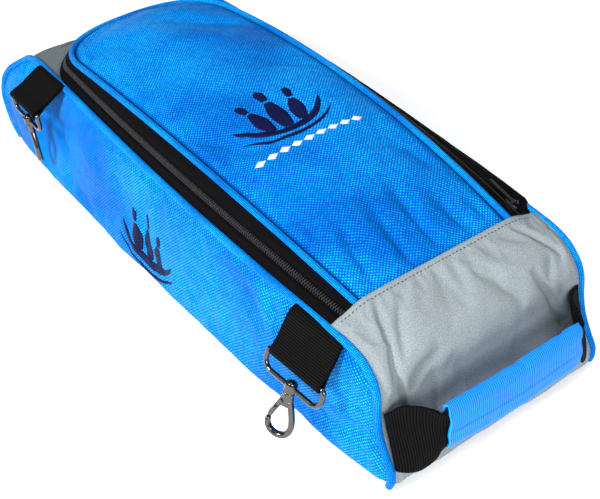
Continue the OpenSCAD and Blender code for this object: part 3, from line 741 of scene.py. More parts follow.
def near_panel():
    """Near end panel, whose top is the flap over the zipper and the lid's hinge."""
    p = EndPanel(resample(outline[outline[:, 0] >= FLAP_X], 90), 110, 0.3, 1)
    soft = smoothstep(4, 26, p.edge) * smoothstep(2, 12, p.s)
    puff = -2.6 * (1 - smoothstep(0, 8, p.edge)) + 1.0 * smoothstep(0, 50, p.edge)
    puff += (1.5 * waves(p.plane, 120, 21) + 0.5 * waves(p.plane, 45, 22)) * soft
    puff -= creases(p.plane, NEAR_FOLDS) * soft
    over_lid = np.clip(1 - (p.x - FLAP_X) / 42, 0, 1) ** 1.3
    rise = over_lid * (2.0 + 6.5 * (1 - smoothstep(66, 92, np.abs(p.y))))
    obj = grid_object("end_panel_near_fabric", p.surface(puff, rise, 4), gray_polyester, 1.4, flip=True)
    settle(obj, p.pinned(0, 7), 0.035, 0.25, 6, stiffness=8, bending=0.6)
    return belongs(obj, "end_panel_near", "end_foam_near", fill=0.4)


def surface_tree(obj):
    return BVHTree.FromObject(obj, bpy.context.evaluated_depsgraph_get())


def project(tree, points, direction, lift=0.0):
    """Points in millimetres dropped onto a surface along a direction, then lifted off it."""
    d = Vector(direction).normalized()
    out = []
    for p in points.reshape(-1, 3):
        hit = tree.ray_cast(Vector(p * MM) - d * 0.08, d, 0.3)[0]
        out.append((p if hit is None else np.array(hit) / MM) - np.array(d) * lift)
    return np.array(out).reshape(points.shape)


def flap_stitches(panel):
    """Row of single stitches along the flap."""
    length, pitch, radius = 1.9, 3.4, 0.33
    line = coords(FLAP_X + 4.0, np.linspace(-90, 90, 120), 140.0)
    line = project(surface_tree(panel), line, (0, 0, -1), 0.05)
    lift = coords(0, 0, np.array([-0.25, 0.12, 0.2, 0.12, -0.25]))
    stitches = Shells()
    for k in range(int(lengths_along(line)[-1] // pitch)):
        at = np.linspace(k * pitch, k * pitch + length, 5)
        rings = tube_points(at_lengths(line, at) + lift, [0.12, radius, radius, radius, 0.12], 6, (0, 0, 1))
        stitches.add(rings, coords(0, at[:, None]))
    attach(stitches.build("flap_stitches", stitch_thread), "root")


def lid_edge_path(count, near):
    """Edge of the lid in plan from the front near end, round the far end, to the back."""
    run = np.linspace(near, LID_END_X, 60)
    a = np.radians(np.linspace(2, 90, 60))
    end = coords(LID_END_X - LID_END_L * np.sin(a) ** 0.84,
                 -lid_bow(LID_END_X) * np.abs(np.cos(a)) ** 0.84)
    half = np.vstack([coords(run, -lid_bow(run)), end])
    return resample(np.vstack([half, half[-2::-1] * [1, -1]]), count)


lid_plan = lid_edge_path(240, HINGE_X + 12)
lid_line = coords(*lid_plan.T, lid_edge_z(lid_plan[:, 0]) - LID_PIPING_R)


def band_curves():
    """Middle line of the zipper and outer edge of its tape, matched to the lid's edge. At the
    far end both drop steeply below the lid's piping."""
    x = lid_plan[:, 0]
    sign = np.sign(lid_plan[:, 1])
    drop = ZIP_R - np.sqrt(ZIP_R ** 2 - x ** 2)
    run = coords(x, sign * (ZIP_TOP[0] - drop * math.cos(ZIP_TILT)), ZIP_TOP[1] - drop * math.sin(ZIP_TILT))
    bend = (1 - smoothstep(-222, -184, x))[:, None]
    teeth = run * (1 - bend) + coords(*inwards(lid_plan, -5.0).T, 106.5) * bend
    leave = (1 - smoothstep(-222, -168, x))[:, None]
    # On the back run the black cloth laps over the piping
    cover = (sign > 0) * smoothstep(-140, -100, x) * (1 - smoothstep(198, 213, x))
    seam = coords(x, sign * (seam_half(x) - 4.5 + 5.3 * cover), SEAM_H - 3.5 + 4.4 * cover)
    return teeth, seam * (1 - leave) + coords(*inwards(lid_plan, -10.0).T, 101.0) * leave


teeth_line, band_outer = band_curves()


def far_panel():
    """Far end panel: from the band's outer edge over the shoulder and down to the base."""
    inner = resample(band_outer[band_outer[:, 0] < -150], 120)
    rim = inwards(outline, PIPING_R)
    ridge = resample(rim[:int(np.argmax(rim[:, 0] > -120))][::-1], 220)
    top_stop = int(np.argmin(np.abs(ridge[:, 0] - (FAR_X + 46)) + (ridge[:, 1] < 80) * 900))
    x, z = resample(ridge[:top_stop + 1], 40).T
    front = coords(x, -(body_half(x, z) - PIPING_R), z)
    x, z = ridge[top_stop]
    half = body_half(x, z) - PIPING_R
    across = coords(x, np.linspace(-half, half, 60), z)
    outer = resample(np.vstack([front, across[1:-1], front[::-1] * [1, -1, 1]]), len(inner))
    f = np.linspace(0, 1, 14)[:, None, None]
    grid = (1 - f) * (inner[None] - [0, 0, 0.6]) + f * outer[None]
    grid[..., 2] += np.sin(np.pi * f[..., 0]) * 0.6
    # Both parts wear the darker copy of the gray twill, as painted shade.
    top = grid_object("end_panel_far_top", grid, gray_painted_shade, 1.4, cloth=grid[..., :2])
    p = EndPanel(resample(ridge[top_stop - 8:], 76), 90, 0.6, -1)
    start_in = smoothstep(8, 24, p.s)
    puff = (-1.6 * (1 - smoothstep(0, 8, p.edge)) + 1.5 * smoothstep(0, 50, p.edge)) * start_in
    rumple = 1.3 * waves(p.plane, 130, 33) + 0.5 * waves(p.plane, 50, 34)
    puff = puff + rumple * smoothstep(4, 30, p.edge) * start_in - 1.9 * (1 - smoothstep(6, 12, p.s))
    down = grid_object("end_panel_far_fabric", p.surface(puff), gray_painted_shade, 1.4)
    settle(down, p.pinned(10, 24), 0.025, 0.25, 5, stiffness=8, bending=0.6)
    belongs(top, slot="gray_polyester")
    belongs(down, "end_panel_far", "end_foam_far", slot="gray_polyester", fill=0.5)


# ---- zipper ----------------------------------------------------------------------------------
# Section of each half of the band: share of its width, height above the tape. The tape beside the
# coil is low, and the black cloth that covers it is folded back in a soft ridge.
BAND_SECTION = np.array([(0.0, -0.5), (0.14, -0.5), (0.26, -0.45), (0.30, 0.2), (0.32, 0.9), (0.36, 1.25),
                         (0.44, 1.35), (0.56, 1.25), (0.7, 0.95), (0.85, 0.5), (1.0, 0.0)])
# One loop of the coil: distance from the middle of the zipper, height above it
COIL_LOOP = np.array([(-0.3, 0.0), (0.15, 0.45), (0.8, 0.78), (1.5, 0.74), (2.1, 0.3), (2.25, -0.3)])
COIL_PITCH = 2.3
TAPE_STOP, STOP_X, COIL_STOP = 223, 219, 217


def band_frame():
    """Directions along the zipper: along it, across towards the lid, and out of the tape."""
    t = tangents(teeth_line)
    to_lid = lid_line - teeth_line
    across = unit(to_lid - (to_lid * t).sum(1)[:, None] * t)
    x, y = teeth_line[:, 0], teeth_line[:, 1]
    run_across = coords(0, -np.sign(y) * math.sin(ZIP_TILT), math.cos(ZIP_TILT))
    w = smoothstep(-215, -184, x)[:, None]
    across = unit(run_across * w + across * (1 - w))
    out = np.cross(t, across)
    return t, across, out * np.sign(out[:, 2])[:, None]


zip_t, zip_across, zip_out = band_frame()


def on_half(obj, part, half):
    """Hides the CAD node of a piece's half of the zipper and parents the base's half to the root; the lid's
    half only has its transform baked.
    """
    if half == "lid":
        belongs(obj, f"{part}_lid", body="lid", fold=LID_FOLD)
    else:
        belongs(obj, f"{part}_base")


def tape_half(half, inner, outer):
    """Half of the zipper's band, from the coil to its seam."""
    keep = inner[:, 0] < TAPE_STOP
    a, b = inner[keep], outer[keep]
    share, height = BAND_SECTION[:, 0][:, None], BAND_SECTION[:, 1][:, None]
    s = lengths_along(a)
    height = height * np.clip(np.linalg.norm(b - a, axis=1) / 9, 0.4, 1.0)
    height = height + 0.25 * waves(coords(s, 0), 60, 51) * share
    grid = a + (b - a) * share[..., None] + zip_out[keep] * height[..., None]
    obj = grid_object(f"zip_tape_{half}_fabric", grid, zip_tape, 0.7, flip=half == "lid",
                      cloth=coords(share * 11, s), offset=0)
    recalculate(obj)
    on_half(obj, "zip_tape", half)


def coil(half, side):
    """Nylon coil: one rounded loop per tooth, side 1 on the lid and -1 on the base."""
    loops = Shells()
    start = COIL_PITCH * (0.5 if side > 0 else 1.0)
    s = lengths_along(teeth_line)
    frames = np.hstack([teeth_line, zip_t, zip_across, zip_out])
    for d in np.arange(start, s[-1], COIL_PITCH):
        p, t, across, out = np.array([np.interp(d, s, column) for column in frames.T]).reshape(4, 3)
        if p[0] <= COIL_STOP:
            path = p + side * across * COIL_LOOP[:, :1] + out * COIL_LOOP[:, 1:]
            loops.add(tube_points(path, 0.48, 6, t), coords(COIL_LOOP[:, :1], d))
    on_half(loops.build(f"zip_coil_{half}_loops", zip_coil), "zip_coil", half)


def end_stops():
    """Metal stop crimped over both coils at each end of the zipper, under the end panel's flap."""
    stops = Shells()
    wide, high = oval(20, 4)
    for i in np.where(teeth_line[:, 0] < STOP_X)[0][[0, -1]]:
        rings = []
        for along in np.linspace(-2.2, 2.2, 9):
            round_end = math.sqrt(1 - (along / 2.3) ** 4)
            rings.append(teeth_line[i] + zip_t[i] * along + zip_out[i] * 0.6
                         + np.outer(wide * (2.4 + 1.4 * round_end), zip_across[i])
                         + np.outer(high * (0.9 + 0.9 * round_end), zip_out[i]))
        stops.add(np.array(rings))
    belongs(stops.build("zip_end_stops_metal", slider_metal), "zip_end_stops")


def zipper():
    tape_half("base", teeth_line - zip_across * 0.5, band_outer)
    tape_half("lid", teeth_line + zip_across * 0.5, lid_line - [0, 0, 0.3])
    coil("base", -1)
    coil("lid", 1)
    end_stops()


# ---- lid -------------------------------------------------------------------------------------
def lid_grid(near, inset):
    """Grid of plan points inside the lid's edge, with its rows across the lid, and the distance of
    each from the lid's front, back and far edges."""
    rim = inwards(lid_edge_path(900, near), inset)
    start = int(np.argmax(rim[:, 0] < LID_END_X - LID_END_L * 0.62))
    stop = len(rim) - start
    plan = coons(rim[:start + 1][::-1], rim[stop - 1:], rim[start:stop],
                 np.linspace(rim[0], rim[-1], 84), 84, 150)
    plan = np.ascontiguousarray(plan.transpose(1, 0, 2))
    return plan, plan[..., 0], plan[..., 1], distance_to(lid_edge_path(500, HINGE_X + 30), plan)


# Creases of the lid in plan: start, end, width and depth in millimetres
LID_FOLDS = [((-12, -74), (60, -40), 8, 2.6), ((148, -40), (214, -52), 5, 3.4),
             ((152, -12), (214, -16), 5, 4.0), ((134, 14), (212, 10), 5.5, 3.6),
             ((158, 36), (214, 40), 5, 3.2), ((120, -58), (176, -60), 6, 2.2),
             ((-150, -44), (-60, -30), 16, 2.4), ((-200, 10), (-120, 52), 14, 2.4),
             ((60, 52), (150, 58), 8, 2.2), ((176, 60), (214, 58), 4.5, 2.8),
             ((-190, -60), (-140, -20), 10, 1.8), ((20, -66), (110, -56), 7, 1.8)]


def lid_panel():
    seam = LID_PIPING_R * 1.4
    plan, x, y, d = lid_grid(HINGE_X + 6, seam)
    z = lid_z(np.clip(x, None, HINGE_X), y / lid_bow(x)) - 1.0
    z = z - 2.4 * (1 - smoothstep(3, 12, d)) + 1.4 * smoothstep(8, 60, d) * smoothstep(0, 40, HINGE_X - x)
    rumple = 1.6 * waves(plan, 190, 5) + 0.45 * waves(plan, 60, 6)
    z = z + rumple * smoothstep(6, 40, d) * smoothstep(0, 30, HINGE_X - x)
    z = z - creases(plan, LID_FOLDS) * smoothstep(4, 16, d) * smoothstep(0, 16, HINGE_X + 2 - x)
    obj = grid_object("lid_panel_fabric", coords(x, y, z), blue_nylon, 1.2, flip=True, cloth=plan)
    shade_seam(obj, d, seam + 0.8, seam + 3.0)
    pin = np.maximum(1 - smoothstep(4, 12, d), smoothstep(HINGE_X - 14, HINGE_X - 4, x))
    settle(obj, pin, 0.012, 0.5, 3.0)
    return belongs(obj, "lid_panel", "lid_foam", body="lid", fold=LID_FOLD, fill=0.5)


def lid_piping():
    z = lid_edge_z(np.clip(lid_plan[:, 0], None, HINGE_X)) - LID_PIPING_R
    path = coords(*inwards(lid_plan, 0.6).T, z)
    obj = cord_object("lid_piping_cord", path[path[:, 0] < 216], LID_PIPING_R, blue_piping, (0, 0, 1))
    belongs(obj, "lid_piping", body="lid", fold=LID_FOLD)


def lid_lining():
    plan, x, y, d = lid_grid(HINGE_X - 8, 7)
    z = lid_z(x, y / lid_bow(x)) - 8.5 + 4.2 * (1 - smoothstep(6, 16, d)) + 0.7 * waves(plan, 110, 9)
    obj = grid_object("lid_lining_fabric", coords(x, y, z), lining_cloth, 0.8, cloth=plan)
    belongs(obj, "lid_lining", body="lid")


# ---- embroidery ------------------------------------------------------------------------------
# Half widths of a bowling pin of height 1: [height, half width]
PIN = np.array([(0, 0.085), (0.1, 0.115), (0.3, 0.165), (0.45, 0.14), (0.62, 0.075), (0.7, 0.062),
                (0.8, 0.08), (0.88, 0.092), (0.95, 0.075), (1, 0.012)])


def pin_strips(cx, cy, height, lean):
    """A bowling pin in two satin columns, with a plain gap for its neck band."""
    c, s = math.cos(lean), math.sin(lean)
    strips = []
    for low, high in ((0.0, 0.64), (0.70, 1.0)):
        t = np.linspace(low, high, 26)
        px = np.linspace(-1, 1, 7)[:, None] * np.interp(t, PIN[:, 0], PIN[:, 1]) * height
        py = (t - 0.5) * height
        strips.append(coords(cx + px * c - py * s, cy + px * s + py * c))
    return strips


def arc_strip(inner, outer, a0, a1):
    """Tapered arc under the pins, from one angle to another in degrees."""
    a = np.radians(np.linspace(a0, a1, 46))
    taper = np.maximum(np.sin(np.linspace(0, math.pi, 46)) ** 0.6, 0.06)
    r = (inner + outer) / 2 + np.linspace(-1, 1, 5)[:, None] * (outer - inner) / 2 * taper
    return coords(r * np.cos(a), 22 + r * np.sin(a))


def emblem_strips():
    """Three pins over a swept arc, about 80 wide and 60 high, centred on 0, 0."""
    return (pin_strips(0, 5, 50, 0) + pin_strips(-19, 2, 42, 0.22) + pin_strips(19, 2, 42, -0.22)
            + [arc_strip(42.5, 51, 208, 332), arc_strip(54.5, 58.5, 222, 318)])


def diamond_strips():
    """Row of nine small diamonds that takes the place of a name."""
    t = np.linspace(-1, 1, 11)
    width = np.linspace(-1, 1, 4)[:, None] * ((1 - np.abs(t)) * 3.4 + 0.12)
    return [coords((k - 4) * 11.5 + t * 5.0, width) for k in range(9)]


def embroider(node, strips, place, panel, direction, material, body):
    """Satin columns laid on a panel. place turns flat points into 3-D ones."""
    direction = np.array(direction, float)
    tree = surface_tree(panel)
    stitches = Shells()
    for strip in strips:
        rows = len(strip)
        dome = 0.55 * (1 - 0.75 * np.abs(np.linspace(-1, 1, rows)) ** 3)[:, None, None]
        grid = project(tree, place(strip[..., 0], strip[..., 1]), direction) - direction * dome
        cloth = coords(np.linspace(0, 4, rows)[:, None], lengths_along(strip[rows // 2]))
        stitches.add(grid, cloth, closed=False)
    obj = stitches.build(f"{node}_satin", material)
    if np.array([v.normal for v in obj.data.vertices]).mean(0) @ direction > 0:
        obj.data.flip_normals()
    thicken(obj, 0.7)
    belongs(obj, node, body=body)


# ---- base and inside -------------------------------------------------------------------------
def base_piece():
    low, high = node_box("bottom_panel")
    x = np.linspace(low[0] + 2.5, high[0] - 2.5, 140)[:, None]
    v = np.linspace(-1, 1, 60)
    half = base_half(x) - 5.5
    edge = np.minimum((1 - np.abs(v)) * half, np.minimum(x - x[0], x[-1] - x))
    grid = coords(x, half * v, 2.0 * (1 - smoothstep(0, 7, edge)))
    obj = grid_object("bottom_panel_fabric", grid, base_cloth, 1.5, cloth=grid[..., :2])
    belongs(obj, "bottom_panel", "base_board")


def lining_tray():
    """Lining of the shoe compartment: up from the floor to the seams all round."""
    low, high = node_box("lining")
    count = 220
    middle_x, wide = (low[0] + high[0]) / 2, high[1]
    long, floor_z = (high[0] - low[0]) / 2, low[2] + 1
    sizes = [((long - 3) * f, (wide - 3) * f, floor_z + 0.3) for f in (0.02, 0.2, 0.4, 0.6, 0.8, 0.93, 0.98)]
    sizes += [(long, wide * 0.985, floor_z + 4)]
    sizes += [(long, wide, floor_z + 8 + k * 8.5) for k in range(9)]
    sizes += [(long + 4, wide - 2.5, 90), (long - 2, wide - 4.5, 99)]
    c, s = oval(count, 7.0)
    grid = np.array([coords(middle_x + x_half * c, y_half * s, z) for x_half, y_half, z in sizes])
    rows = len(grid)
    toward = np.array([middle_x, 0, 0]) - grid
    toward[..., 2] = 0
    toward /= np.maximum(np.linalg.norm(toward, axis=-1), 1)[..., None]
    wall = smoothstep(6, 10, np.arange(rows))[:, None]
    grid = grid + toward * (waves(grid, 90, 41) * wall + 0.4)[..., None]
    faces = grid_faces(rows, count, wrap=True) + [tuple(range(count))]
    cloth = coords(lengths_along(grid[10]), np.linspace(0, 200, rows)[:, None])
    obj = mesh_object("lining_fabric", grid.reshape(-1, 3), faces, lining_cloth, cloth.reshape(-1, 2))
    recalculate(obj)
    thicken(obj, 0.8, 0)
    belongs(obj, "lining")


# ---- handle ----------------------------------------------------------------------------------
# Stations of the strap: [y, x at its lower edge, x at its upper edge, lower z, upper z]
STRAP = [(-94.5, 283, 270, 20, 66), (-91.5, 286, 273, 19, 69), (-86.5, 290, 277, 19, 74),
         (-81, 293, 284, 20, 77), (-75, 296, 292, 25, 78), (-70, 299, 298, 33, 76),
         (-66, 300, 300, 40, 75), (-30, 300, 300, 41, 77), (0, 300, 300, 41, 77),
         (30, 300, 300, 41, 77), (58, 300, 300, 42, 76), (65, 299, 295, 41, 77),
         (69.5, 297, 282, 33, 80), (75, 293.5, 275, 25, 80), (82, 289.5, 271, 20, 79),
         (87, 286, 269, 20, 78), (90.5, 282, 265, 21, 76)]
# Creases of the sleeve: [along, round] start and end, width, depth
SLEEVE_FOLDS = [((-8, 20), (20, 84), 3, 1.3), ((-40, 60), (-22, 96), 2.4, 1.1),
                ((34, 10), (50, 60), 2.4, 1.2), ((6, 0), (-2, 34), 2.2, 1.0)]


def strap():
    """Handle webbing in one strip, sewn into both end seams."""
    dense = smooth_path(STRAP, 400)
    y = np.linspace(-94.5, 90.5, 150)[:, None]
    low_x, high_x, low_z, high_z = (np.interp(y, dense[:, 0], dense[:, k]) for k in range(1, 5))
    f = np.linspace(0, 1, 14)
    curl = 2.2 * smoothstep(62, 72, np.abs(y)) * (1 - smoothstep(84, 96, np.abs(y)))
    x = low_x * (1 - f) + high_x * f + curl * np.sin(f * math.pi * 2) * 0.8
    grid = coords(x, y, low_z * (1 - f) + high_z * f)
    cloth = coords(f * 50, lengths_along(grid[:, 7])[:, None])
    obj = grid_object("handle_webbing_strap", grid, black_webbing, 2.0, cloth=cloth, offset=0)
    recalculate(obj)
    edge = obj.modifiers.new("edge", "BEVEL")
    edge.width = 0.5 * MM
    edge.segments = 2
    return obj


def handle_webbing():
    """The strap, cut in its middle into a piece for each side."""
    web = strap()
    for name, side in SIDES:
        o = web.copy()
        o.data = web.data.copy()
        o.name = f"handle_webbing_{name}"
        link(o)
        bm = bmesh.new()
        bm.from_mesh(o.data)
        gone = [f for f in bm.faces if f.calc_center_median().y * side < 0]
        bmesh.ops.delete(bm, geom=gone, context="FACES")
        bm.to_mesh(o.data)
        bm.free()
        bend = ((0.28, side * 0.0885, 0.045), (0.28, side * 0.075, 0.045))
        belongs(o, f"handle_anchor_{name}", "handle_webbing", body="handle", fold=bend)
    bpy.data.objects.remove(web)


def sleeve():
    """Ribbed padded sleeve round the strap, pinched in at its open ends."""
    low, high = node_box("handle_sleeve")
    middle, half = (low + high) / 2, (high - low) / 2
    rows, sides = 420, 44
    y = np.linspace(low[1], high[1], rows)[:, None]
    from_low, from_high = y - low[1], high[1] - y
    a = np.linspace(0, 2 * math.pi, sides, endpoint=False)
    c, s = np.cos(a), np.sin(a)
    wide, tall = oval(sides, 2.6)
    plump = 0.80 + 0.2 * smoothstep(0, 10, np.minimum(from_low, from_high))
    rib = 0.2 * np.abs(np.sin(from_low * math.pi / 1.7)) ** 0.7
    px = (half[0] * 0.86 * plump + rib) * wide + waves(coords(y, 0), 60, 77) * 0.48 * c
    pz = ((half[2] - 1.0) * (0.96 + 0.04 * plump) + rib * 0.6) * tall
    bow = 1.6 * (1 - (from_low / (high[1] - low[1]) * 2 - 1) ** 2)
    x = middle[0] + px - pz * 0.05 + bow - 0.4
    z = middle[2] + pz + waves(coords(y, 0), 90, 78) * 0.49
    # Two sewn channels run the length of the face
    for h in (-0.36, 0.36):
        x = x - 0.9 * np.exp(-((pz / half[2] - h) / 0.06) ** 2) * np.sign(c) * (np.abs(c) > 0.4)
    crease = creases(coords(y, a * 16), SLEEVE_FOLDS)
    ragged = 1.5 * waves(coords(a * 16, 0), 34, 79) + 1.4
    shift = ragged * (smoothstep(0, 8, from_high) - smoothstep(0, 8, from_low))
    grid = coords(x - crease * c, y + shift, z - crease * s * 0.4)
    inner = middle + (grid - middle) * [0.55, 1, 0.93]
    girth = lengths_along(np.vstack([grid[rows // 2], grid[rows // 2][:1]]))[:-1]
    cloth = coords(girth, from_low)
    obj = mesh_object("handle_sleeve_fabric", np.vstack([grid, inner[::-1]]).reshape(-1, 3),
                      grid_faces(2 * rows, sides, wrap=True, ring=True), blue_sleeve,
                      np.vstack([cloth, cloth[::-1]]).reshape(-1, 2))
    recalculate(obj)
    belongs(obj, "handle_sleeve", "handle_padding", body="handle", fill=0.5)


# ---- clasps ----------------------------------------------------------------------------------
TAB_L = 33.0
RING_H = 16.0
WIRE_R = 1.9
# Clasps: place of the tab's fold, tilt of the tab, its turn, swing of the ring, turn of the hook
CLASPS = {"near": ((208, -103.5, 104), 32, 8, 12, 20), "far": ((-196, -100.3, 105.5), 60, -3, 62, -15)}
# Paths of the hook's bow and of its gate, as [across, up] from the ring
HOOK_BOW = [(2.6, -11.0), (4.6, -15.5), (6.6, -21), (8.4, -27), (9.1, -32), (8.0, -37), (4.8, -40.6),
            (0, -41.9), (-4.8, -40.6), (-8.0, -37), (-9.1, -33), (-8.9, -30.2)]
GATE_PATH = [(-3.5, -13.2), (-4.8, -17), (-6.3, -21), (-7.8, -25.2), (-8.7, -28.8)]
# Sections up the hook's axis, [z, half width, half thickness]: domed head, post and flanged neck
HOOK_HEAD = [(3.4, 3.3, 3.3), (3.5, 3.8, 3.8), (4.0, 3.75, 3.75), (4.7, 3.2, 3.2), (5.3, 2.3, 2.3),
             (5.7, 1.2, 1.2), (5.8, 0.3, 0.3)]
HOOK_POST = [(-4.2, 1.95, 1.95), (3.6, 1.95, 1.95)]
HOOK_NECK = [(-3.45, 3.6, 3.6), (-3.6, 4.25, 4.25), (-5.0, 4.35, 4.3), (-5.8, 4.1, 3.7), (-7.5, 4.3, 3.0),
             (-10, 5.0, 2.65), (-13, 5.6, 2.6), (-15.2, 5.5, 2.5), (-16.2, 4.6, 2.2)]


def turn(axis, degrees):
    return np.array(Matrix.Rotation(math.radians(degrees), 3, axis))


def clasp_point(end_name, part, local):
    """Points of a tab or hook in the shared frame. local is x along the bag, y inwards, z up."""
    place, tilt, yaw, swing, swivel = CLASPS[end_name]
    r, p = turn("X", -tilt) @ turn("Z", yaw), np.array(place, float)
    if part == "hook":
        p = p + r @ [0, 0, -TAB_L]
        r = r @ turn("X", swing)
        p = p + r @ [0, 0, -RING_H]
        r = r @ turn("Z", swivel)
    return np.asarray(local, float) @ r.T + p


def tab(end_name):
    """Folded webbing tab: down the outside, round the ring's bar and back up inside."""
    thick = 1.35
    r = WIRE_R + 0.35
    outer = [(-2.6, -3.5), (-0.4, -1.5), (0.75, 2), (0.9, 8), (1.0, 20), (1.1, TAB_L - 10),
             (r + 0.45, TAB_L - 3)]
    a = np.radians(np.linspace(20, -200, 16))
    loop = coords(np.cos(a) * (r + thick / 2), TAB_L - np.sin(a) * (r + thick / 2))
    back = [(-1.0, TAB_L - 10), (-0.95, 20), (-0.9, 5), (-1.4, -2), (-3.4, -4)]
    path = smooth_path(np.vstack([outer, loop, back]), 90)
    away, down = path[:, 0][:, None], path[:, 1][:, None]
    w = np.linspace(-25, 25, 26)
    curl = 0.5 * np.cos(w / 25 * math.pi * 0.5) * (1 - smoothstep(6, 36, down))
    local = coords(w * (1 + 0.006 * np.sin(down / 7)), -away - curl, -down)
    cloth = coords(w, lengths_along(path)[:, None])
    obj = grid_object(f"tab_front_{end_name}_webbing", clasp_point(end_name, "tab", local), black_webbing,
                      thick, cloth=cloth, offset=0)
    recalculate(obj)
    bend = [tuple(clasp_point(end_name, "tab", (0, 0, z)) * MM) for z in (1.0, -9.0)]
    belongs(obj, f"tab_front_{end_name}", body=f"front_{end_name}_tab", fold=bend)


def swept(path, wide, thick):
    """Bar along a path in the hook's plane, with rounded ends. wide is in the plane."""
    t = tangents(path)
    c, s = oval(20, 2.8)
    across = wide[:, None] * c
    return coords(path[:, :1] + t[:, 1:] * across, thick[:, None] * s, path[:, 1:] - t[:, :1] * across)


def upright(stations, power):
    """Body of oval sections up the hook's axis."""
    c, s = oval(28, power)
    return np.array([coords(w * c, t * s, z) for z, w, t in stations])


def rounding(to_end, reach, least):
    """Width of a bar near its end, for a rounded nose. to_end is 0 at the end of the bar."""
    return np.sqrt(np.clip(1 - (1 - to_end / reach).clip(0, 1) ** 3, least, 1))


def hook(end_name):
    """Swivel hook with its gate: a bow that is round at the bottom, below its post and neck."""
    def place(p):
        return clasp_point(end_name, "hook", p)

    body = Shells()
    for stations, power in ((HOOK_HEAD, 2.0), (HOOK_POST, 2.0), (HOOK_NECK, 2.6)):
        body.add(upright(stations, power))
    s = np.linspace(0, 1, 60)
    nose = rounding(1 - s, 0.07, 0.04)
    body.add(swept(smooth_path(HOOK_BOW, 60), (2.1 + 0.35 * np.exp(-((s - 0.55) / 0.16) ** 2)) * nose,
                   2.55 * nose))
    lever = Shells()
    s = np.linspace(0, 1, 36)
    ends = rounding(1 - s, 0.06, 0.05) * rounding(s, 0.07, 0.05)
    lever.add(swept(smooth_path(GATE_PATH, 36), 1.95 * ends, (1.5 + 0.75 * smoothstep(0.3, 0.45, s)) * ends))
    for part, shells in (("hook", body), ("gate", lever)):
        node = f"{part}_front_{end_name}"
        belongs(shells.build(f"{node}_metal", nickel, place), node, body=f"front_{end_name}_{part}")


def round_edges(node, width, material):
    """Shows a node of the CAD as it is, with a material and rounded edges."""
    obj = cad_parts[node]
    obj.data.materials.clear()
    obj.data.materials.append(material)
    edge = obj.modifiers.new("edge", "BEVEL")
    edge.width = width * MM
    edge.segments = 3
    edge.limit_method = "ANGLE"
    edge.angle_limit = math.radians(32)
    edge.harden_normals = False
    obj.data.polygons.foreach_set("use_smooth", [True] * len(obj.data.polygons))


def clasps():
    for end_name in CLASPS:
        tab(end_name)
        hook(end_name)
        round_edges(f"rivet_front_{end_name}", 0.2, nickel)
        round_edges(f"ring_front_{end_name}", 0.5, nickel)
        round_edges(f"spring_front_{end_name}", 0.1, steel_spring)


# ---- build -----------------------------------------------------------------------------------
for side_name, side in SIDES:
    side_piping(side_name, side)
side_panels = {name: side_panel(name, side) for name, side in SIDES}
flap_stitches(near_panel())
far_panel()
zipper()
lid = lid_panel()
lid_piping()
lid_lining()
base_piece()
lining_tray()
handle_webbing()
sleeve()
clasps()
round_edges("zip_slider", 0.25, slider_metal)
round_edges("zip_pull", 0.25, pull_coating)

emblem, stripe, side_mark = (sum(node_box(n)) / 2 for n in ("lid_emblem", "lid_stripe", "side_emblem"))
embroider("lid_emblem", emblem_strips(), lambda u, v: coords(emblem[0] - v, emblem[1] + u, 150.0),
          lid, (0, 0, -1), navy_thread, "lid")
embroider("lid_stripe", diamond_strips(), lambda u, v: coords(stripe[0] - v, emblem[1] + u, 150.0),
          lid, (0, 0, -1), white_thread, "lid")
embroider("side_emblem", emblem_strips(),
          lambda u, v: coords(side_mark[0] + u, -150.0, side_mark[2] + v * 0.9),
          side_panels["front"], (0, 1, 0), navy_thread, "root")


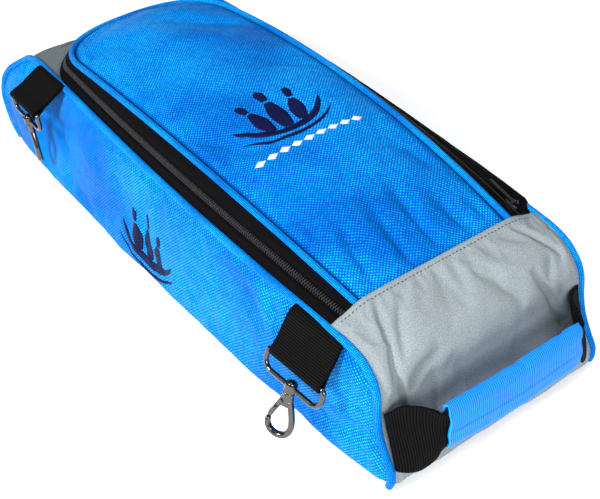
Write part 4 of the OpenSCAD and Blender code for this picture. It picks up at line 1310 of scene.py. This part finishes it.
# ---- stage, light and camera -----------------------------------------------------------------
def stage():
    n = Nodes("floor_white")
    n.finish((0.93, 0.93, 0.93), 0.9, specular=0.1)
    n.put(n.shader.inputs["Emission Color"], (1.0, 1.0, 1.0))
    n.put(n.shader.inputs["Emission Strength"], 0.3)
    bpy.ops.mesh.primitive_plane_add(size=12, location=(0, 0, -0.0004))
    floor = bpy.context.object
    floor.name = "floor"
    floor.data.materials.append(n.material)
    world = bpy.data.worlds.new("studio")
    bpy.context.scene.world = world
    world.use_nodes = True
    tree = world.node_tree
    split = tree.nodes.new("ShaderNodeSeparateXYZ")
    ramp = tree.nodes.new("ShaderNodeMapRange")
    tree.links.new(tree.nodes.new("ShaderNodeTexCoord").outputs["Generated"], split.inputs[0])
    tree.links.new(split.outputs[2], ramp.inputs[0])
    for i, value in enumerate((0.15, 0.75, 0.1, 0.36)):
        ramp.inputs[i + 1].default_value = value
    back = tree.nodes["Background"]
    tree.links.new(ramp.outputs[0], back.inputs[0])
    back.inputs[1].default_value = 1.0


def area_light(name, place, target, size, power):
    data = bpy.data.lights.new(name, "AREA")
    data.shape = "RECTANGLE"
    data.size = data.size_y = size
    data.energy = power
    obj = link(bpy.data.objects.new(name, data))
    obj.location = place
    obj.rotation_euler = (Vector(target) - Vector(place)).to_track_quat("-Z", "Y").to_euler()


def camera():
    azimuth, elevation, roll = (math.radians(a) for a in (56.21, 40.67, -3.35))
    back = Vector((math.sin(azimuth) * math.cos(elevation), -math.cos(azimuth) * math.cos(elevation),
                   math.sin(elevation)))
    right = (-back).cross(Vector((0, 0, 1))).normalized()
    up = right.cross(-back)
    c, s = math.cos(roll), math.sin(roll)
    right, up = c * right + s * up, -s * right + c * up
    data = bpy.data.cameras.new("photo_view")
    data.sensor_width = 36
    data.lens = 69.8
    data.clip_start, data.clip_end = 0.01, 50
    obj = bpy.data.objects.new("photo_view", data)
    bpy.context.scene.collection.objects.link(obj)
    obj.matrix_world = Matrix((
        (right.x, up.x, back.x, 0.6708), (right.y, up.y, back.y, -0.4221),
        (right.z, up.z, back.z, 0.6581), (0, 0, 0, 1)))
    bpy.context.scene.camera = obj


stage()
area_light("key", (0.0, -1.62, 1.32), (0, 0, 0.05), 0.45, 53)
area_light("top", (0.1, 0.6, 1.9), (0, 0, 0.05), 1.1, 13)
area_light("handle_side", (1.45, -0.55, 0.75), (0.28, 0, 0.05), 0.6, 18)
camera()
bpy.context.scene.view_settings.view_transform = "Standard"
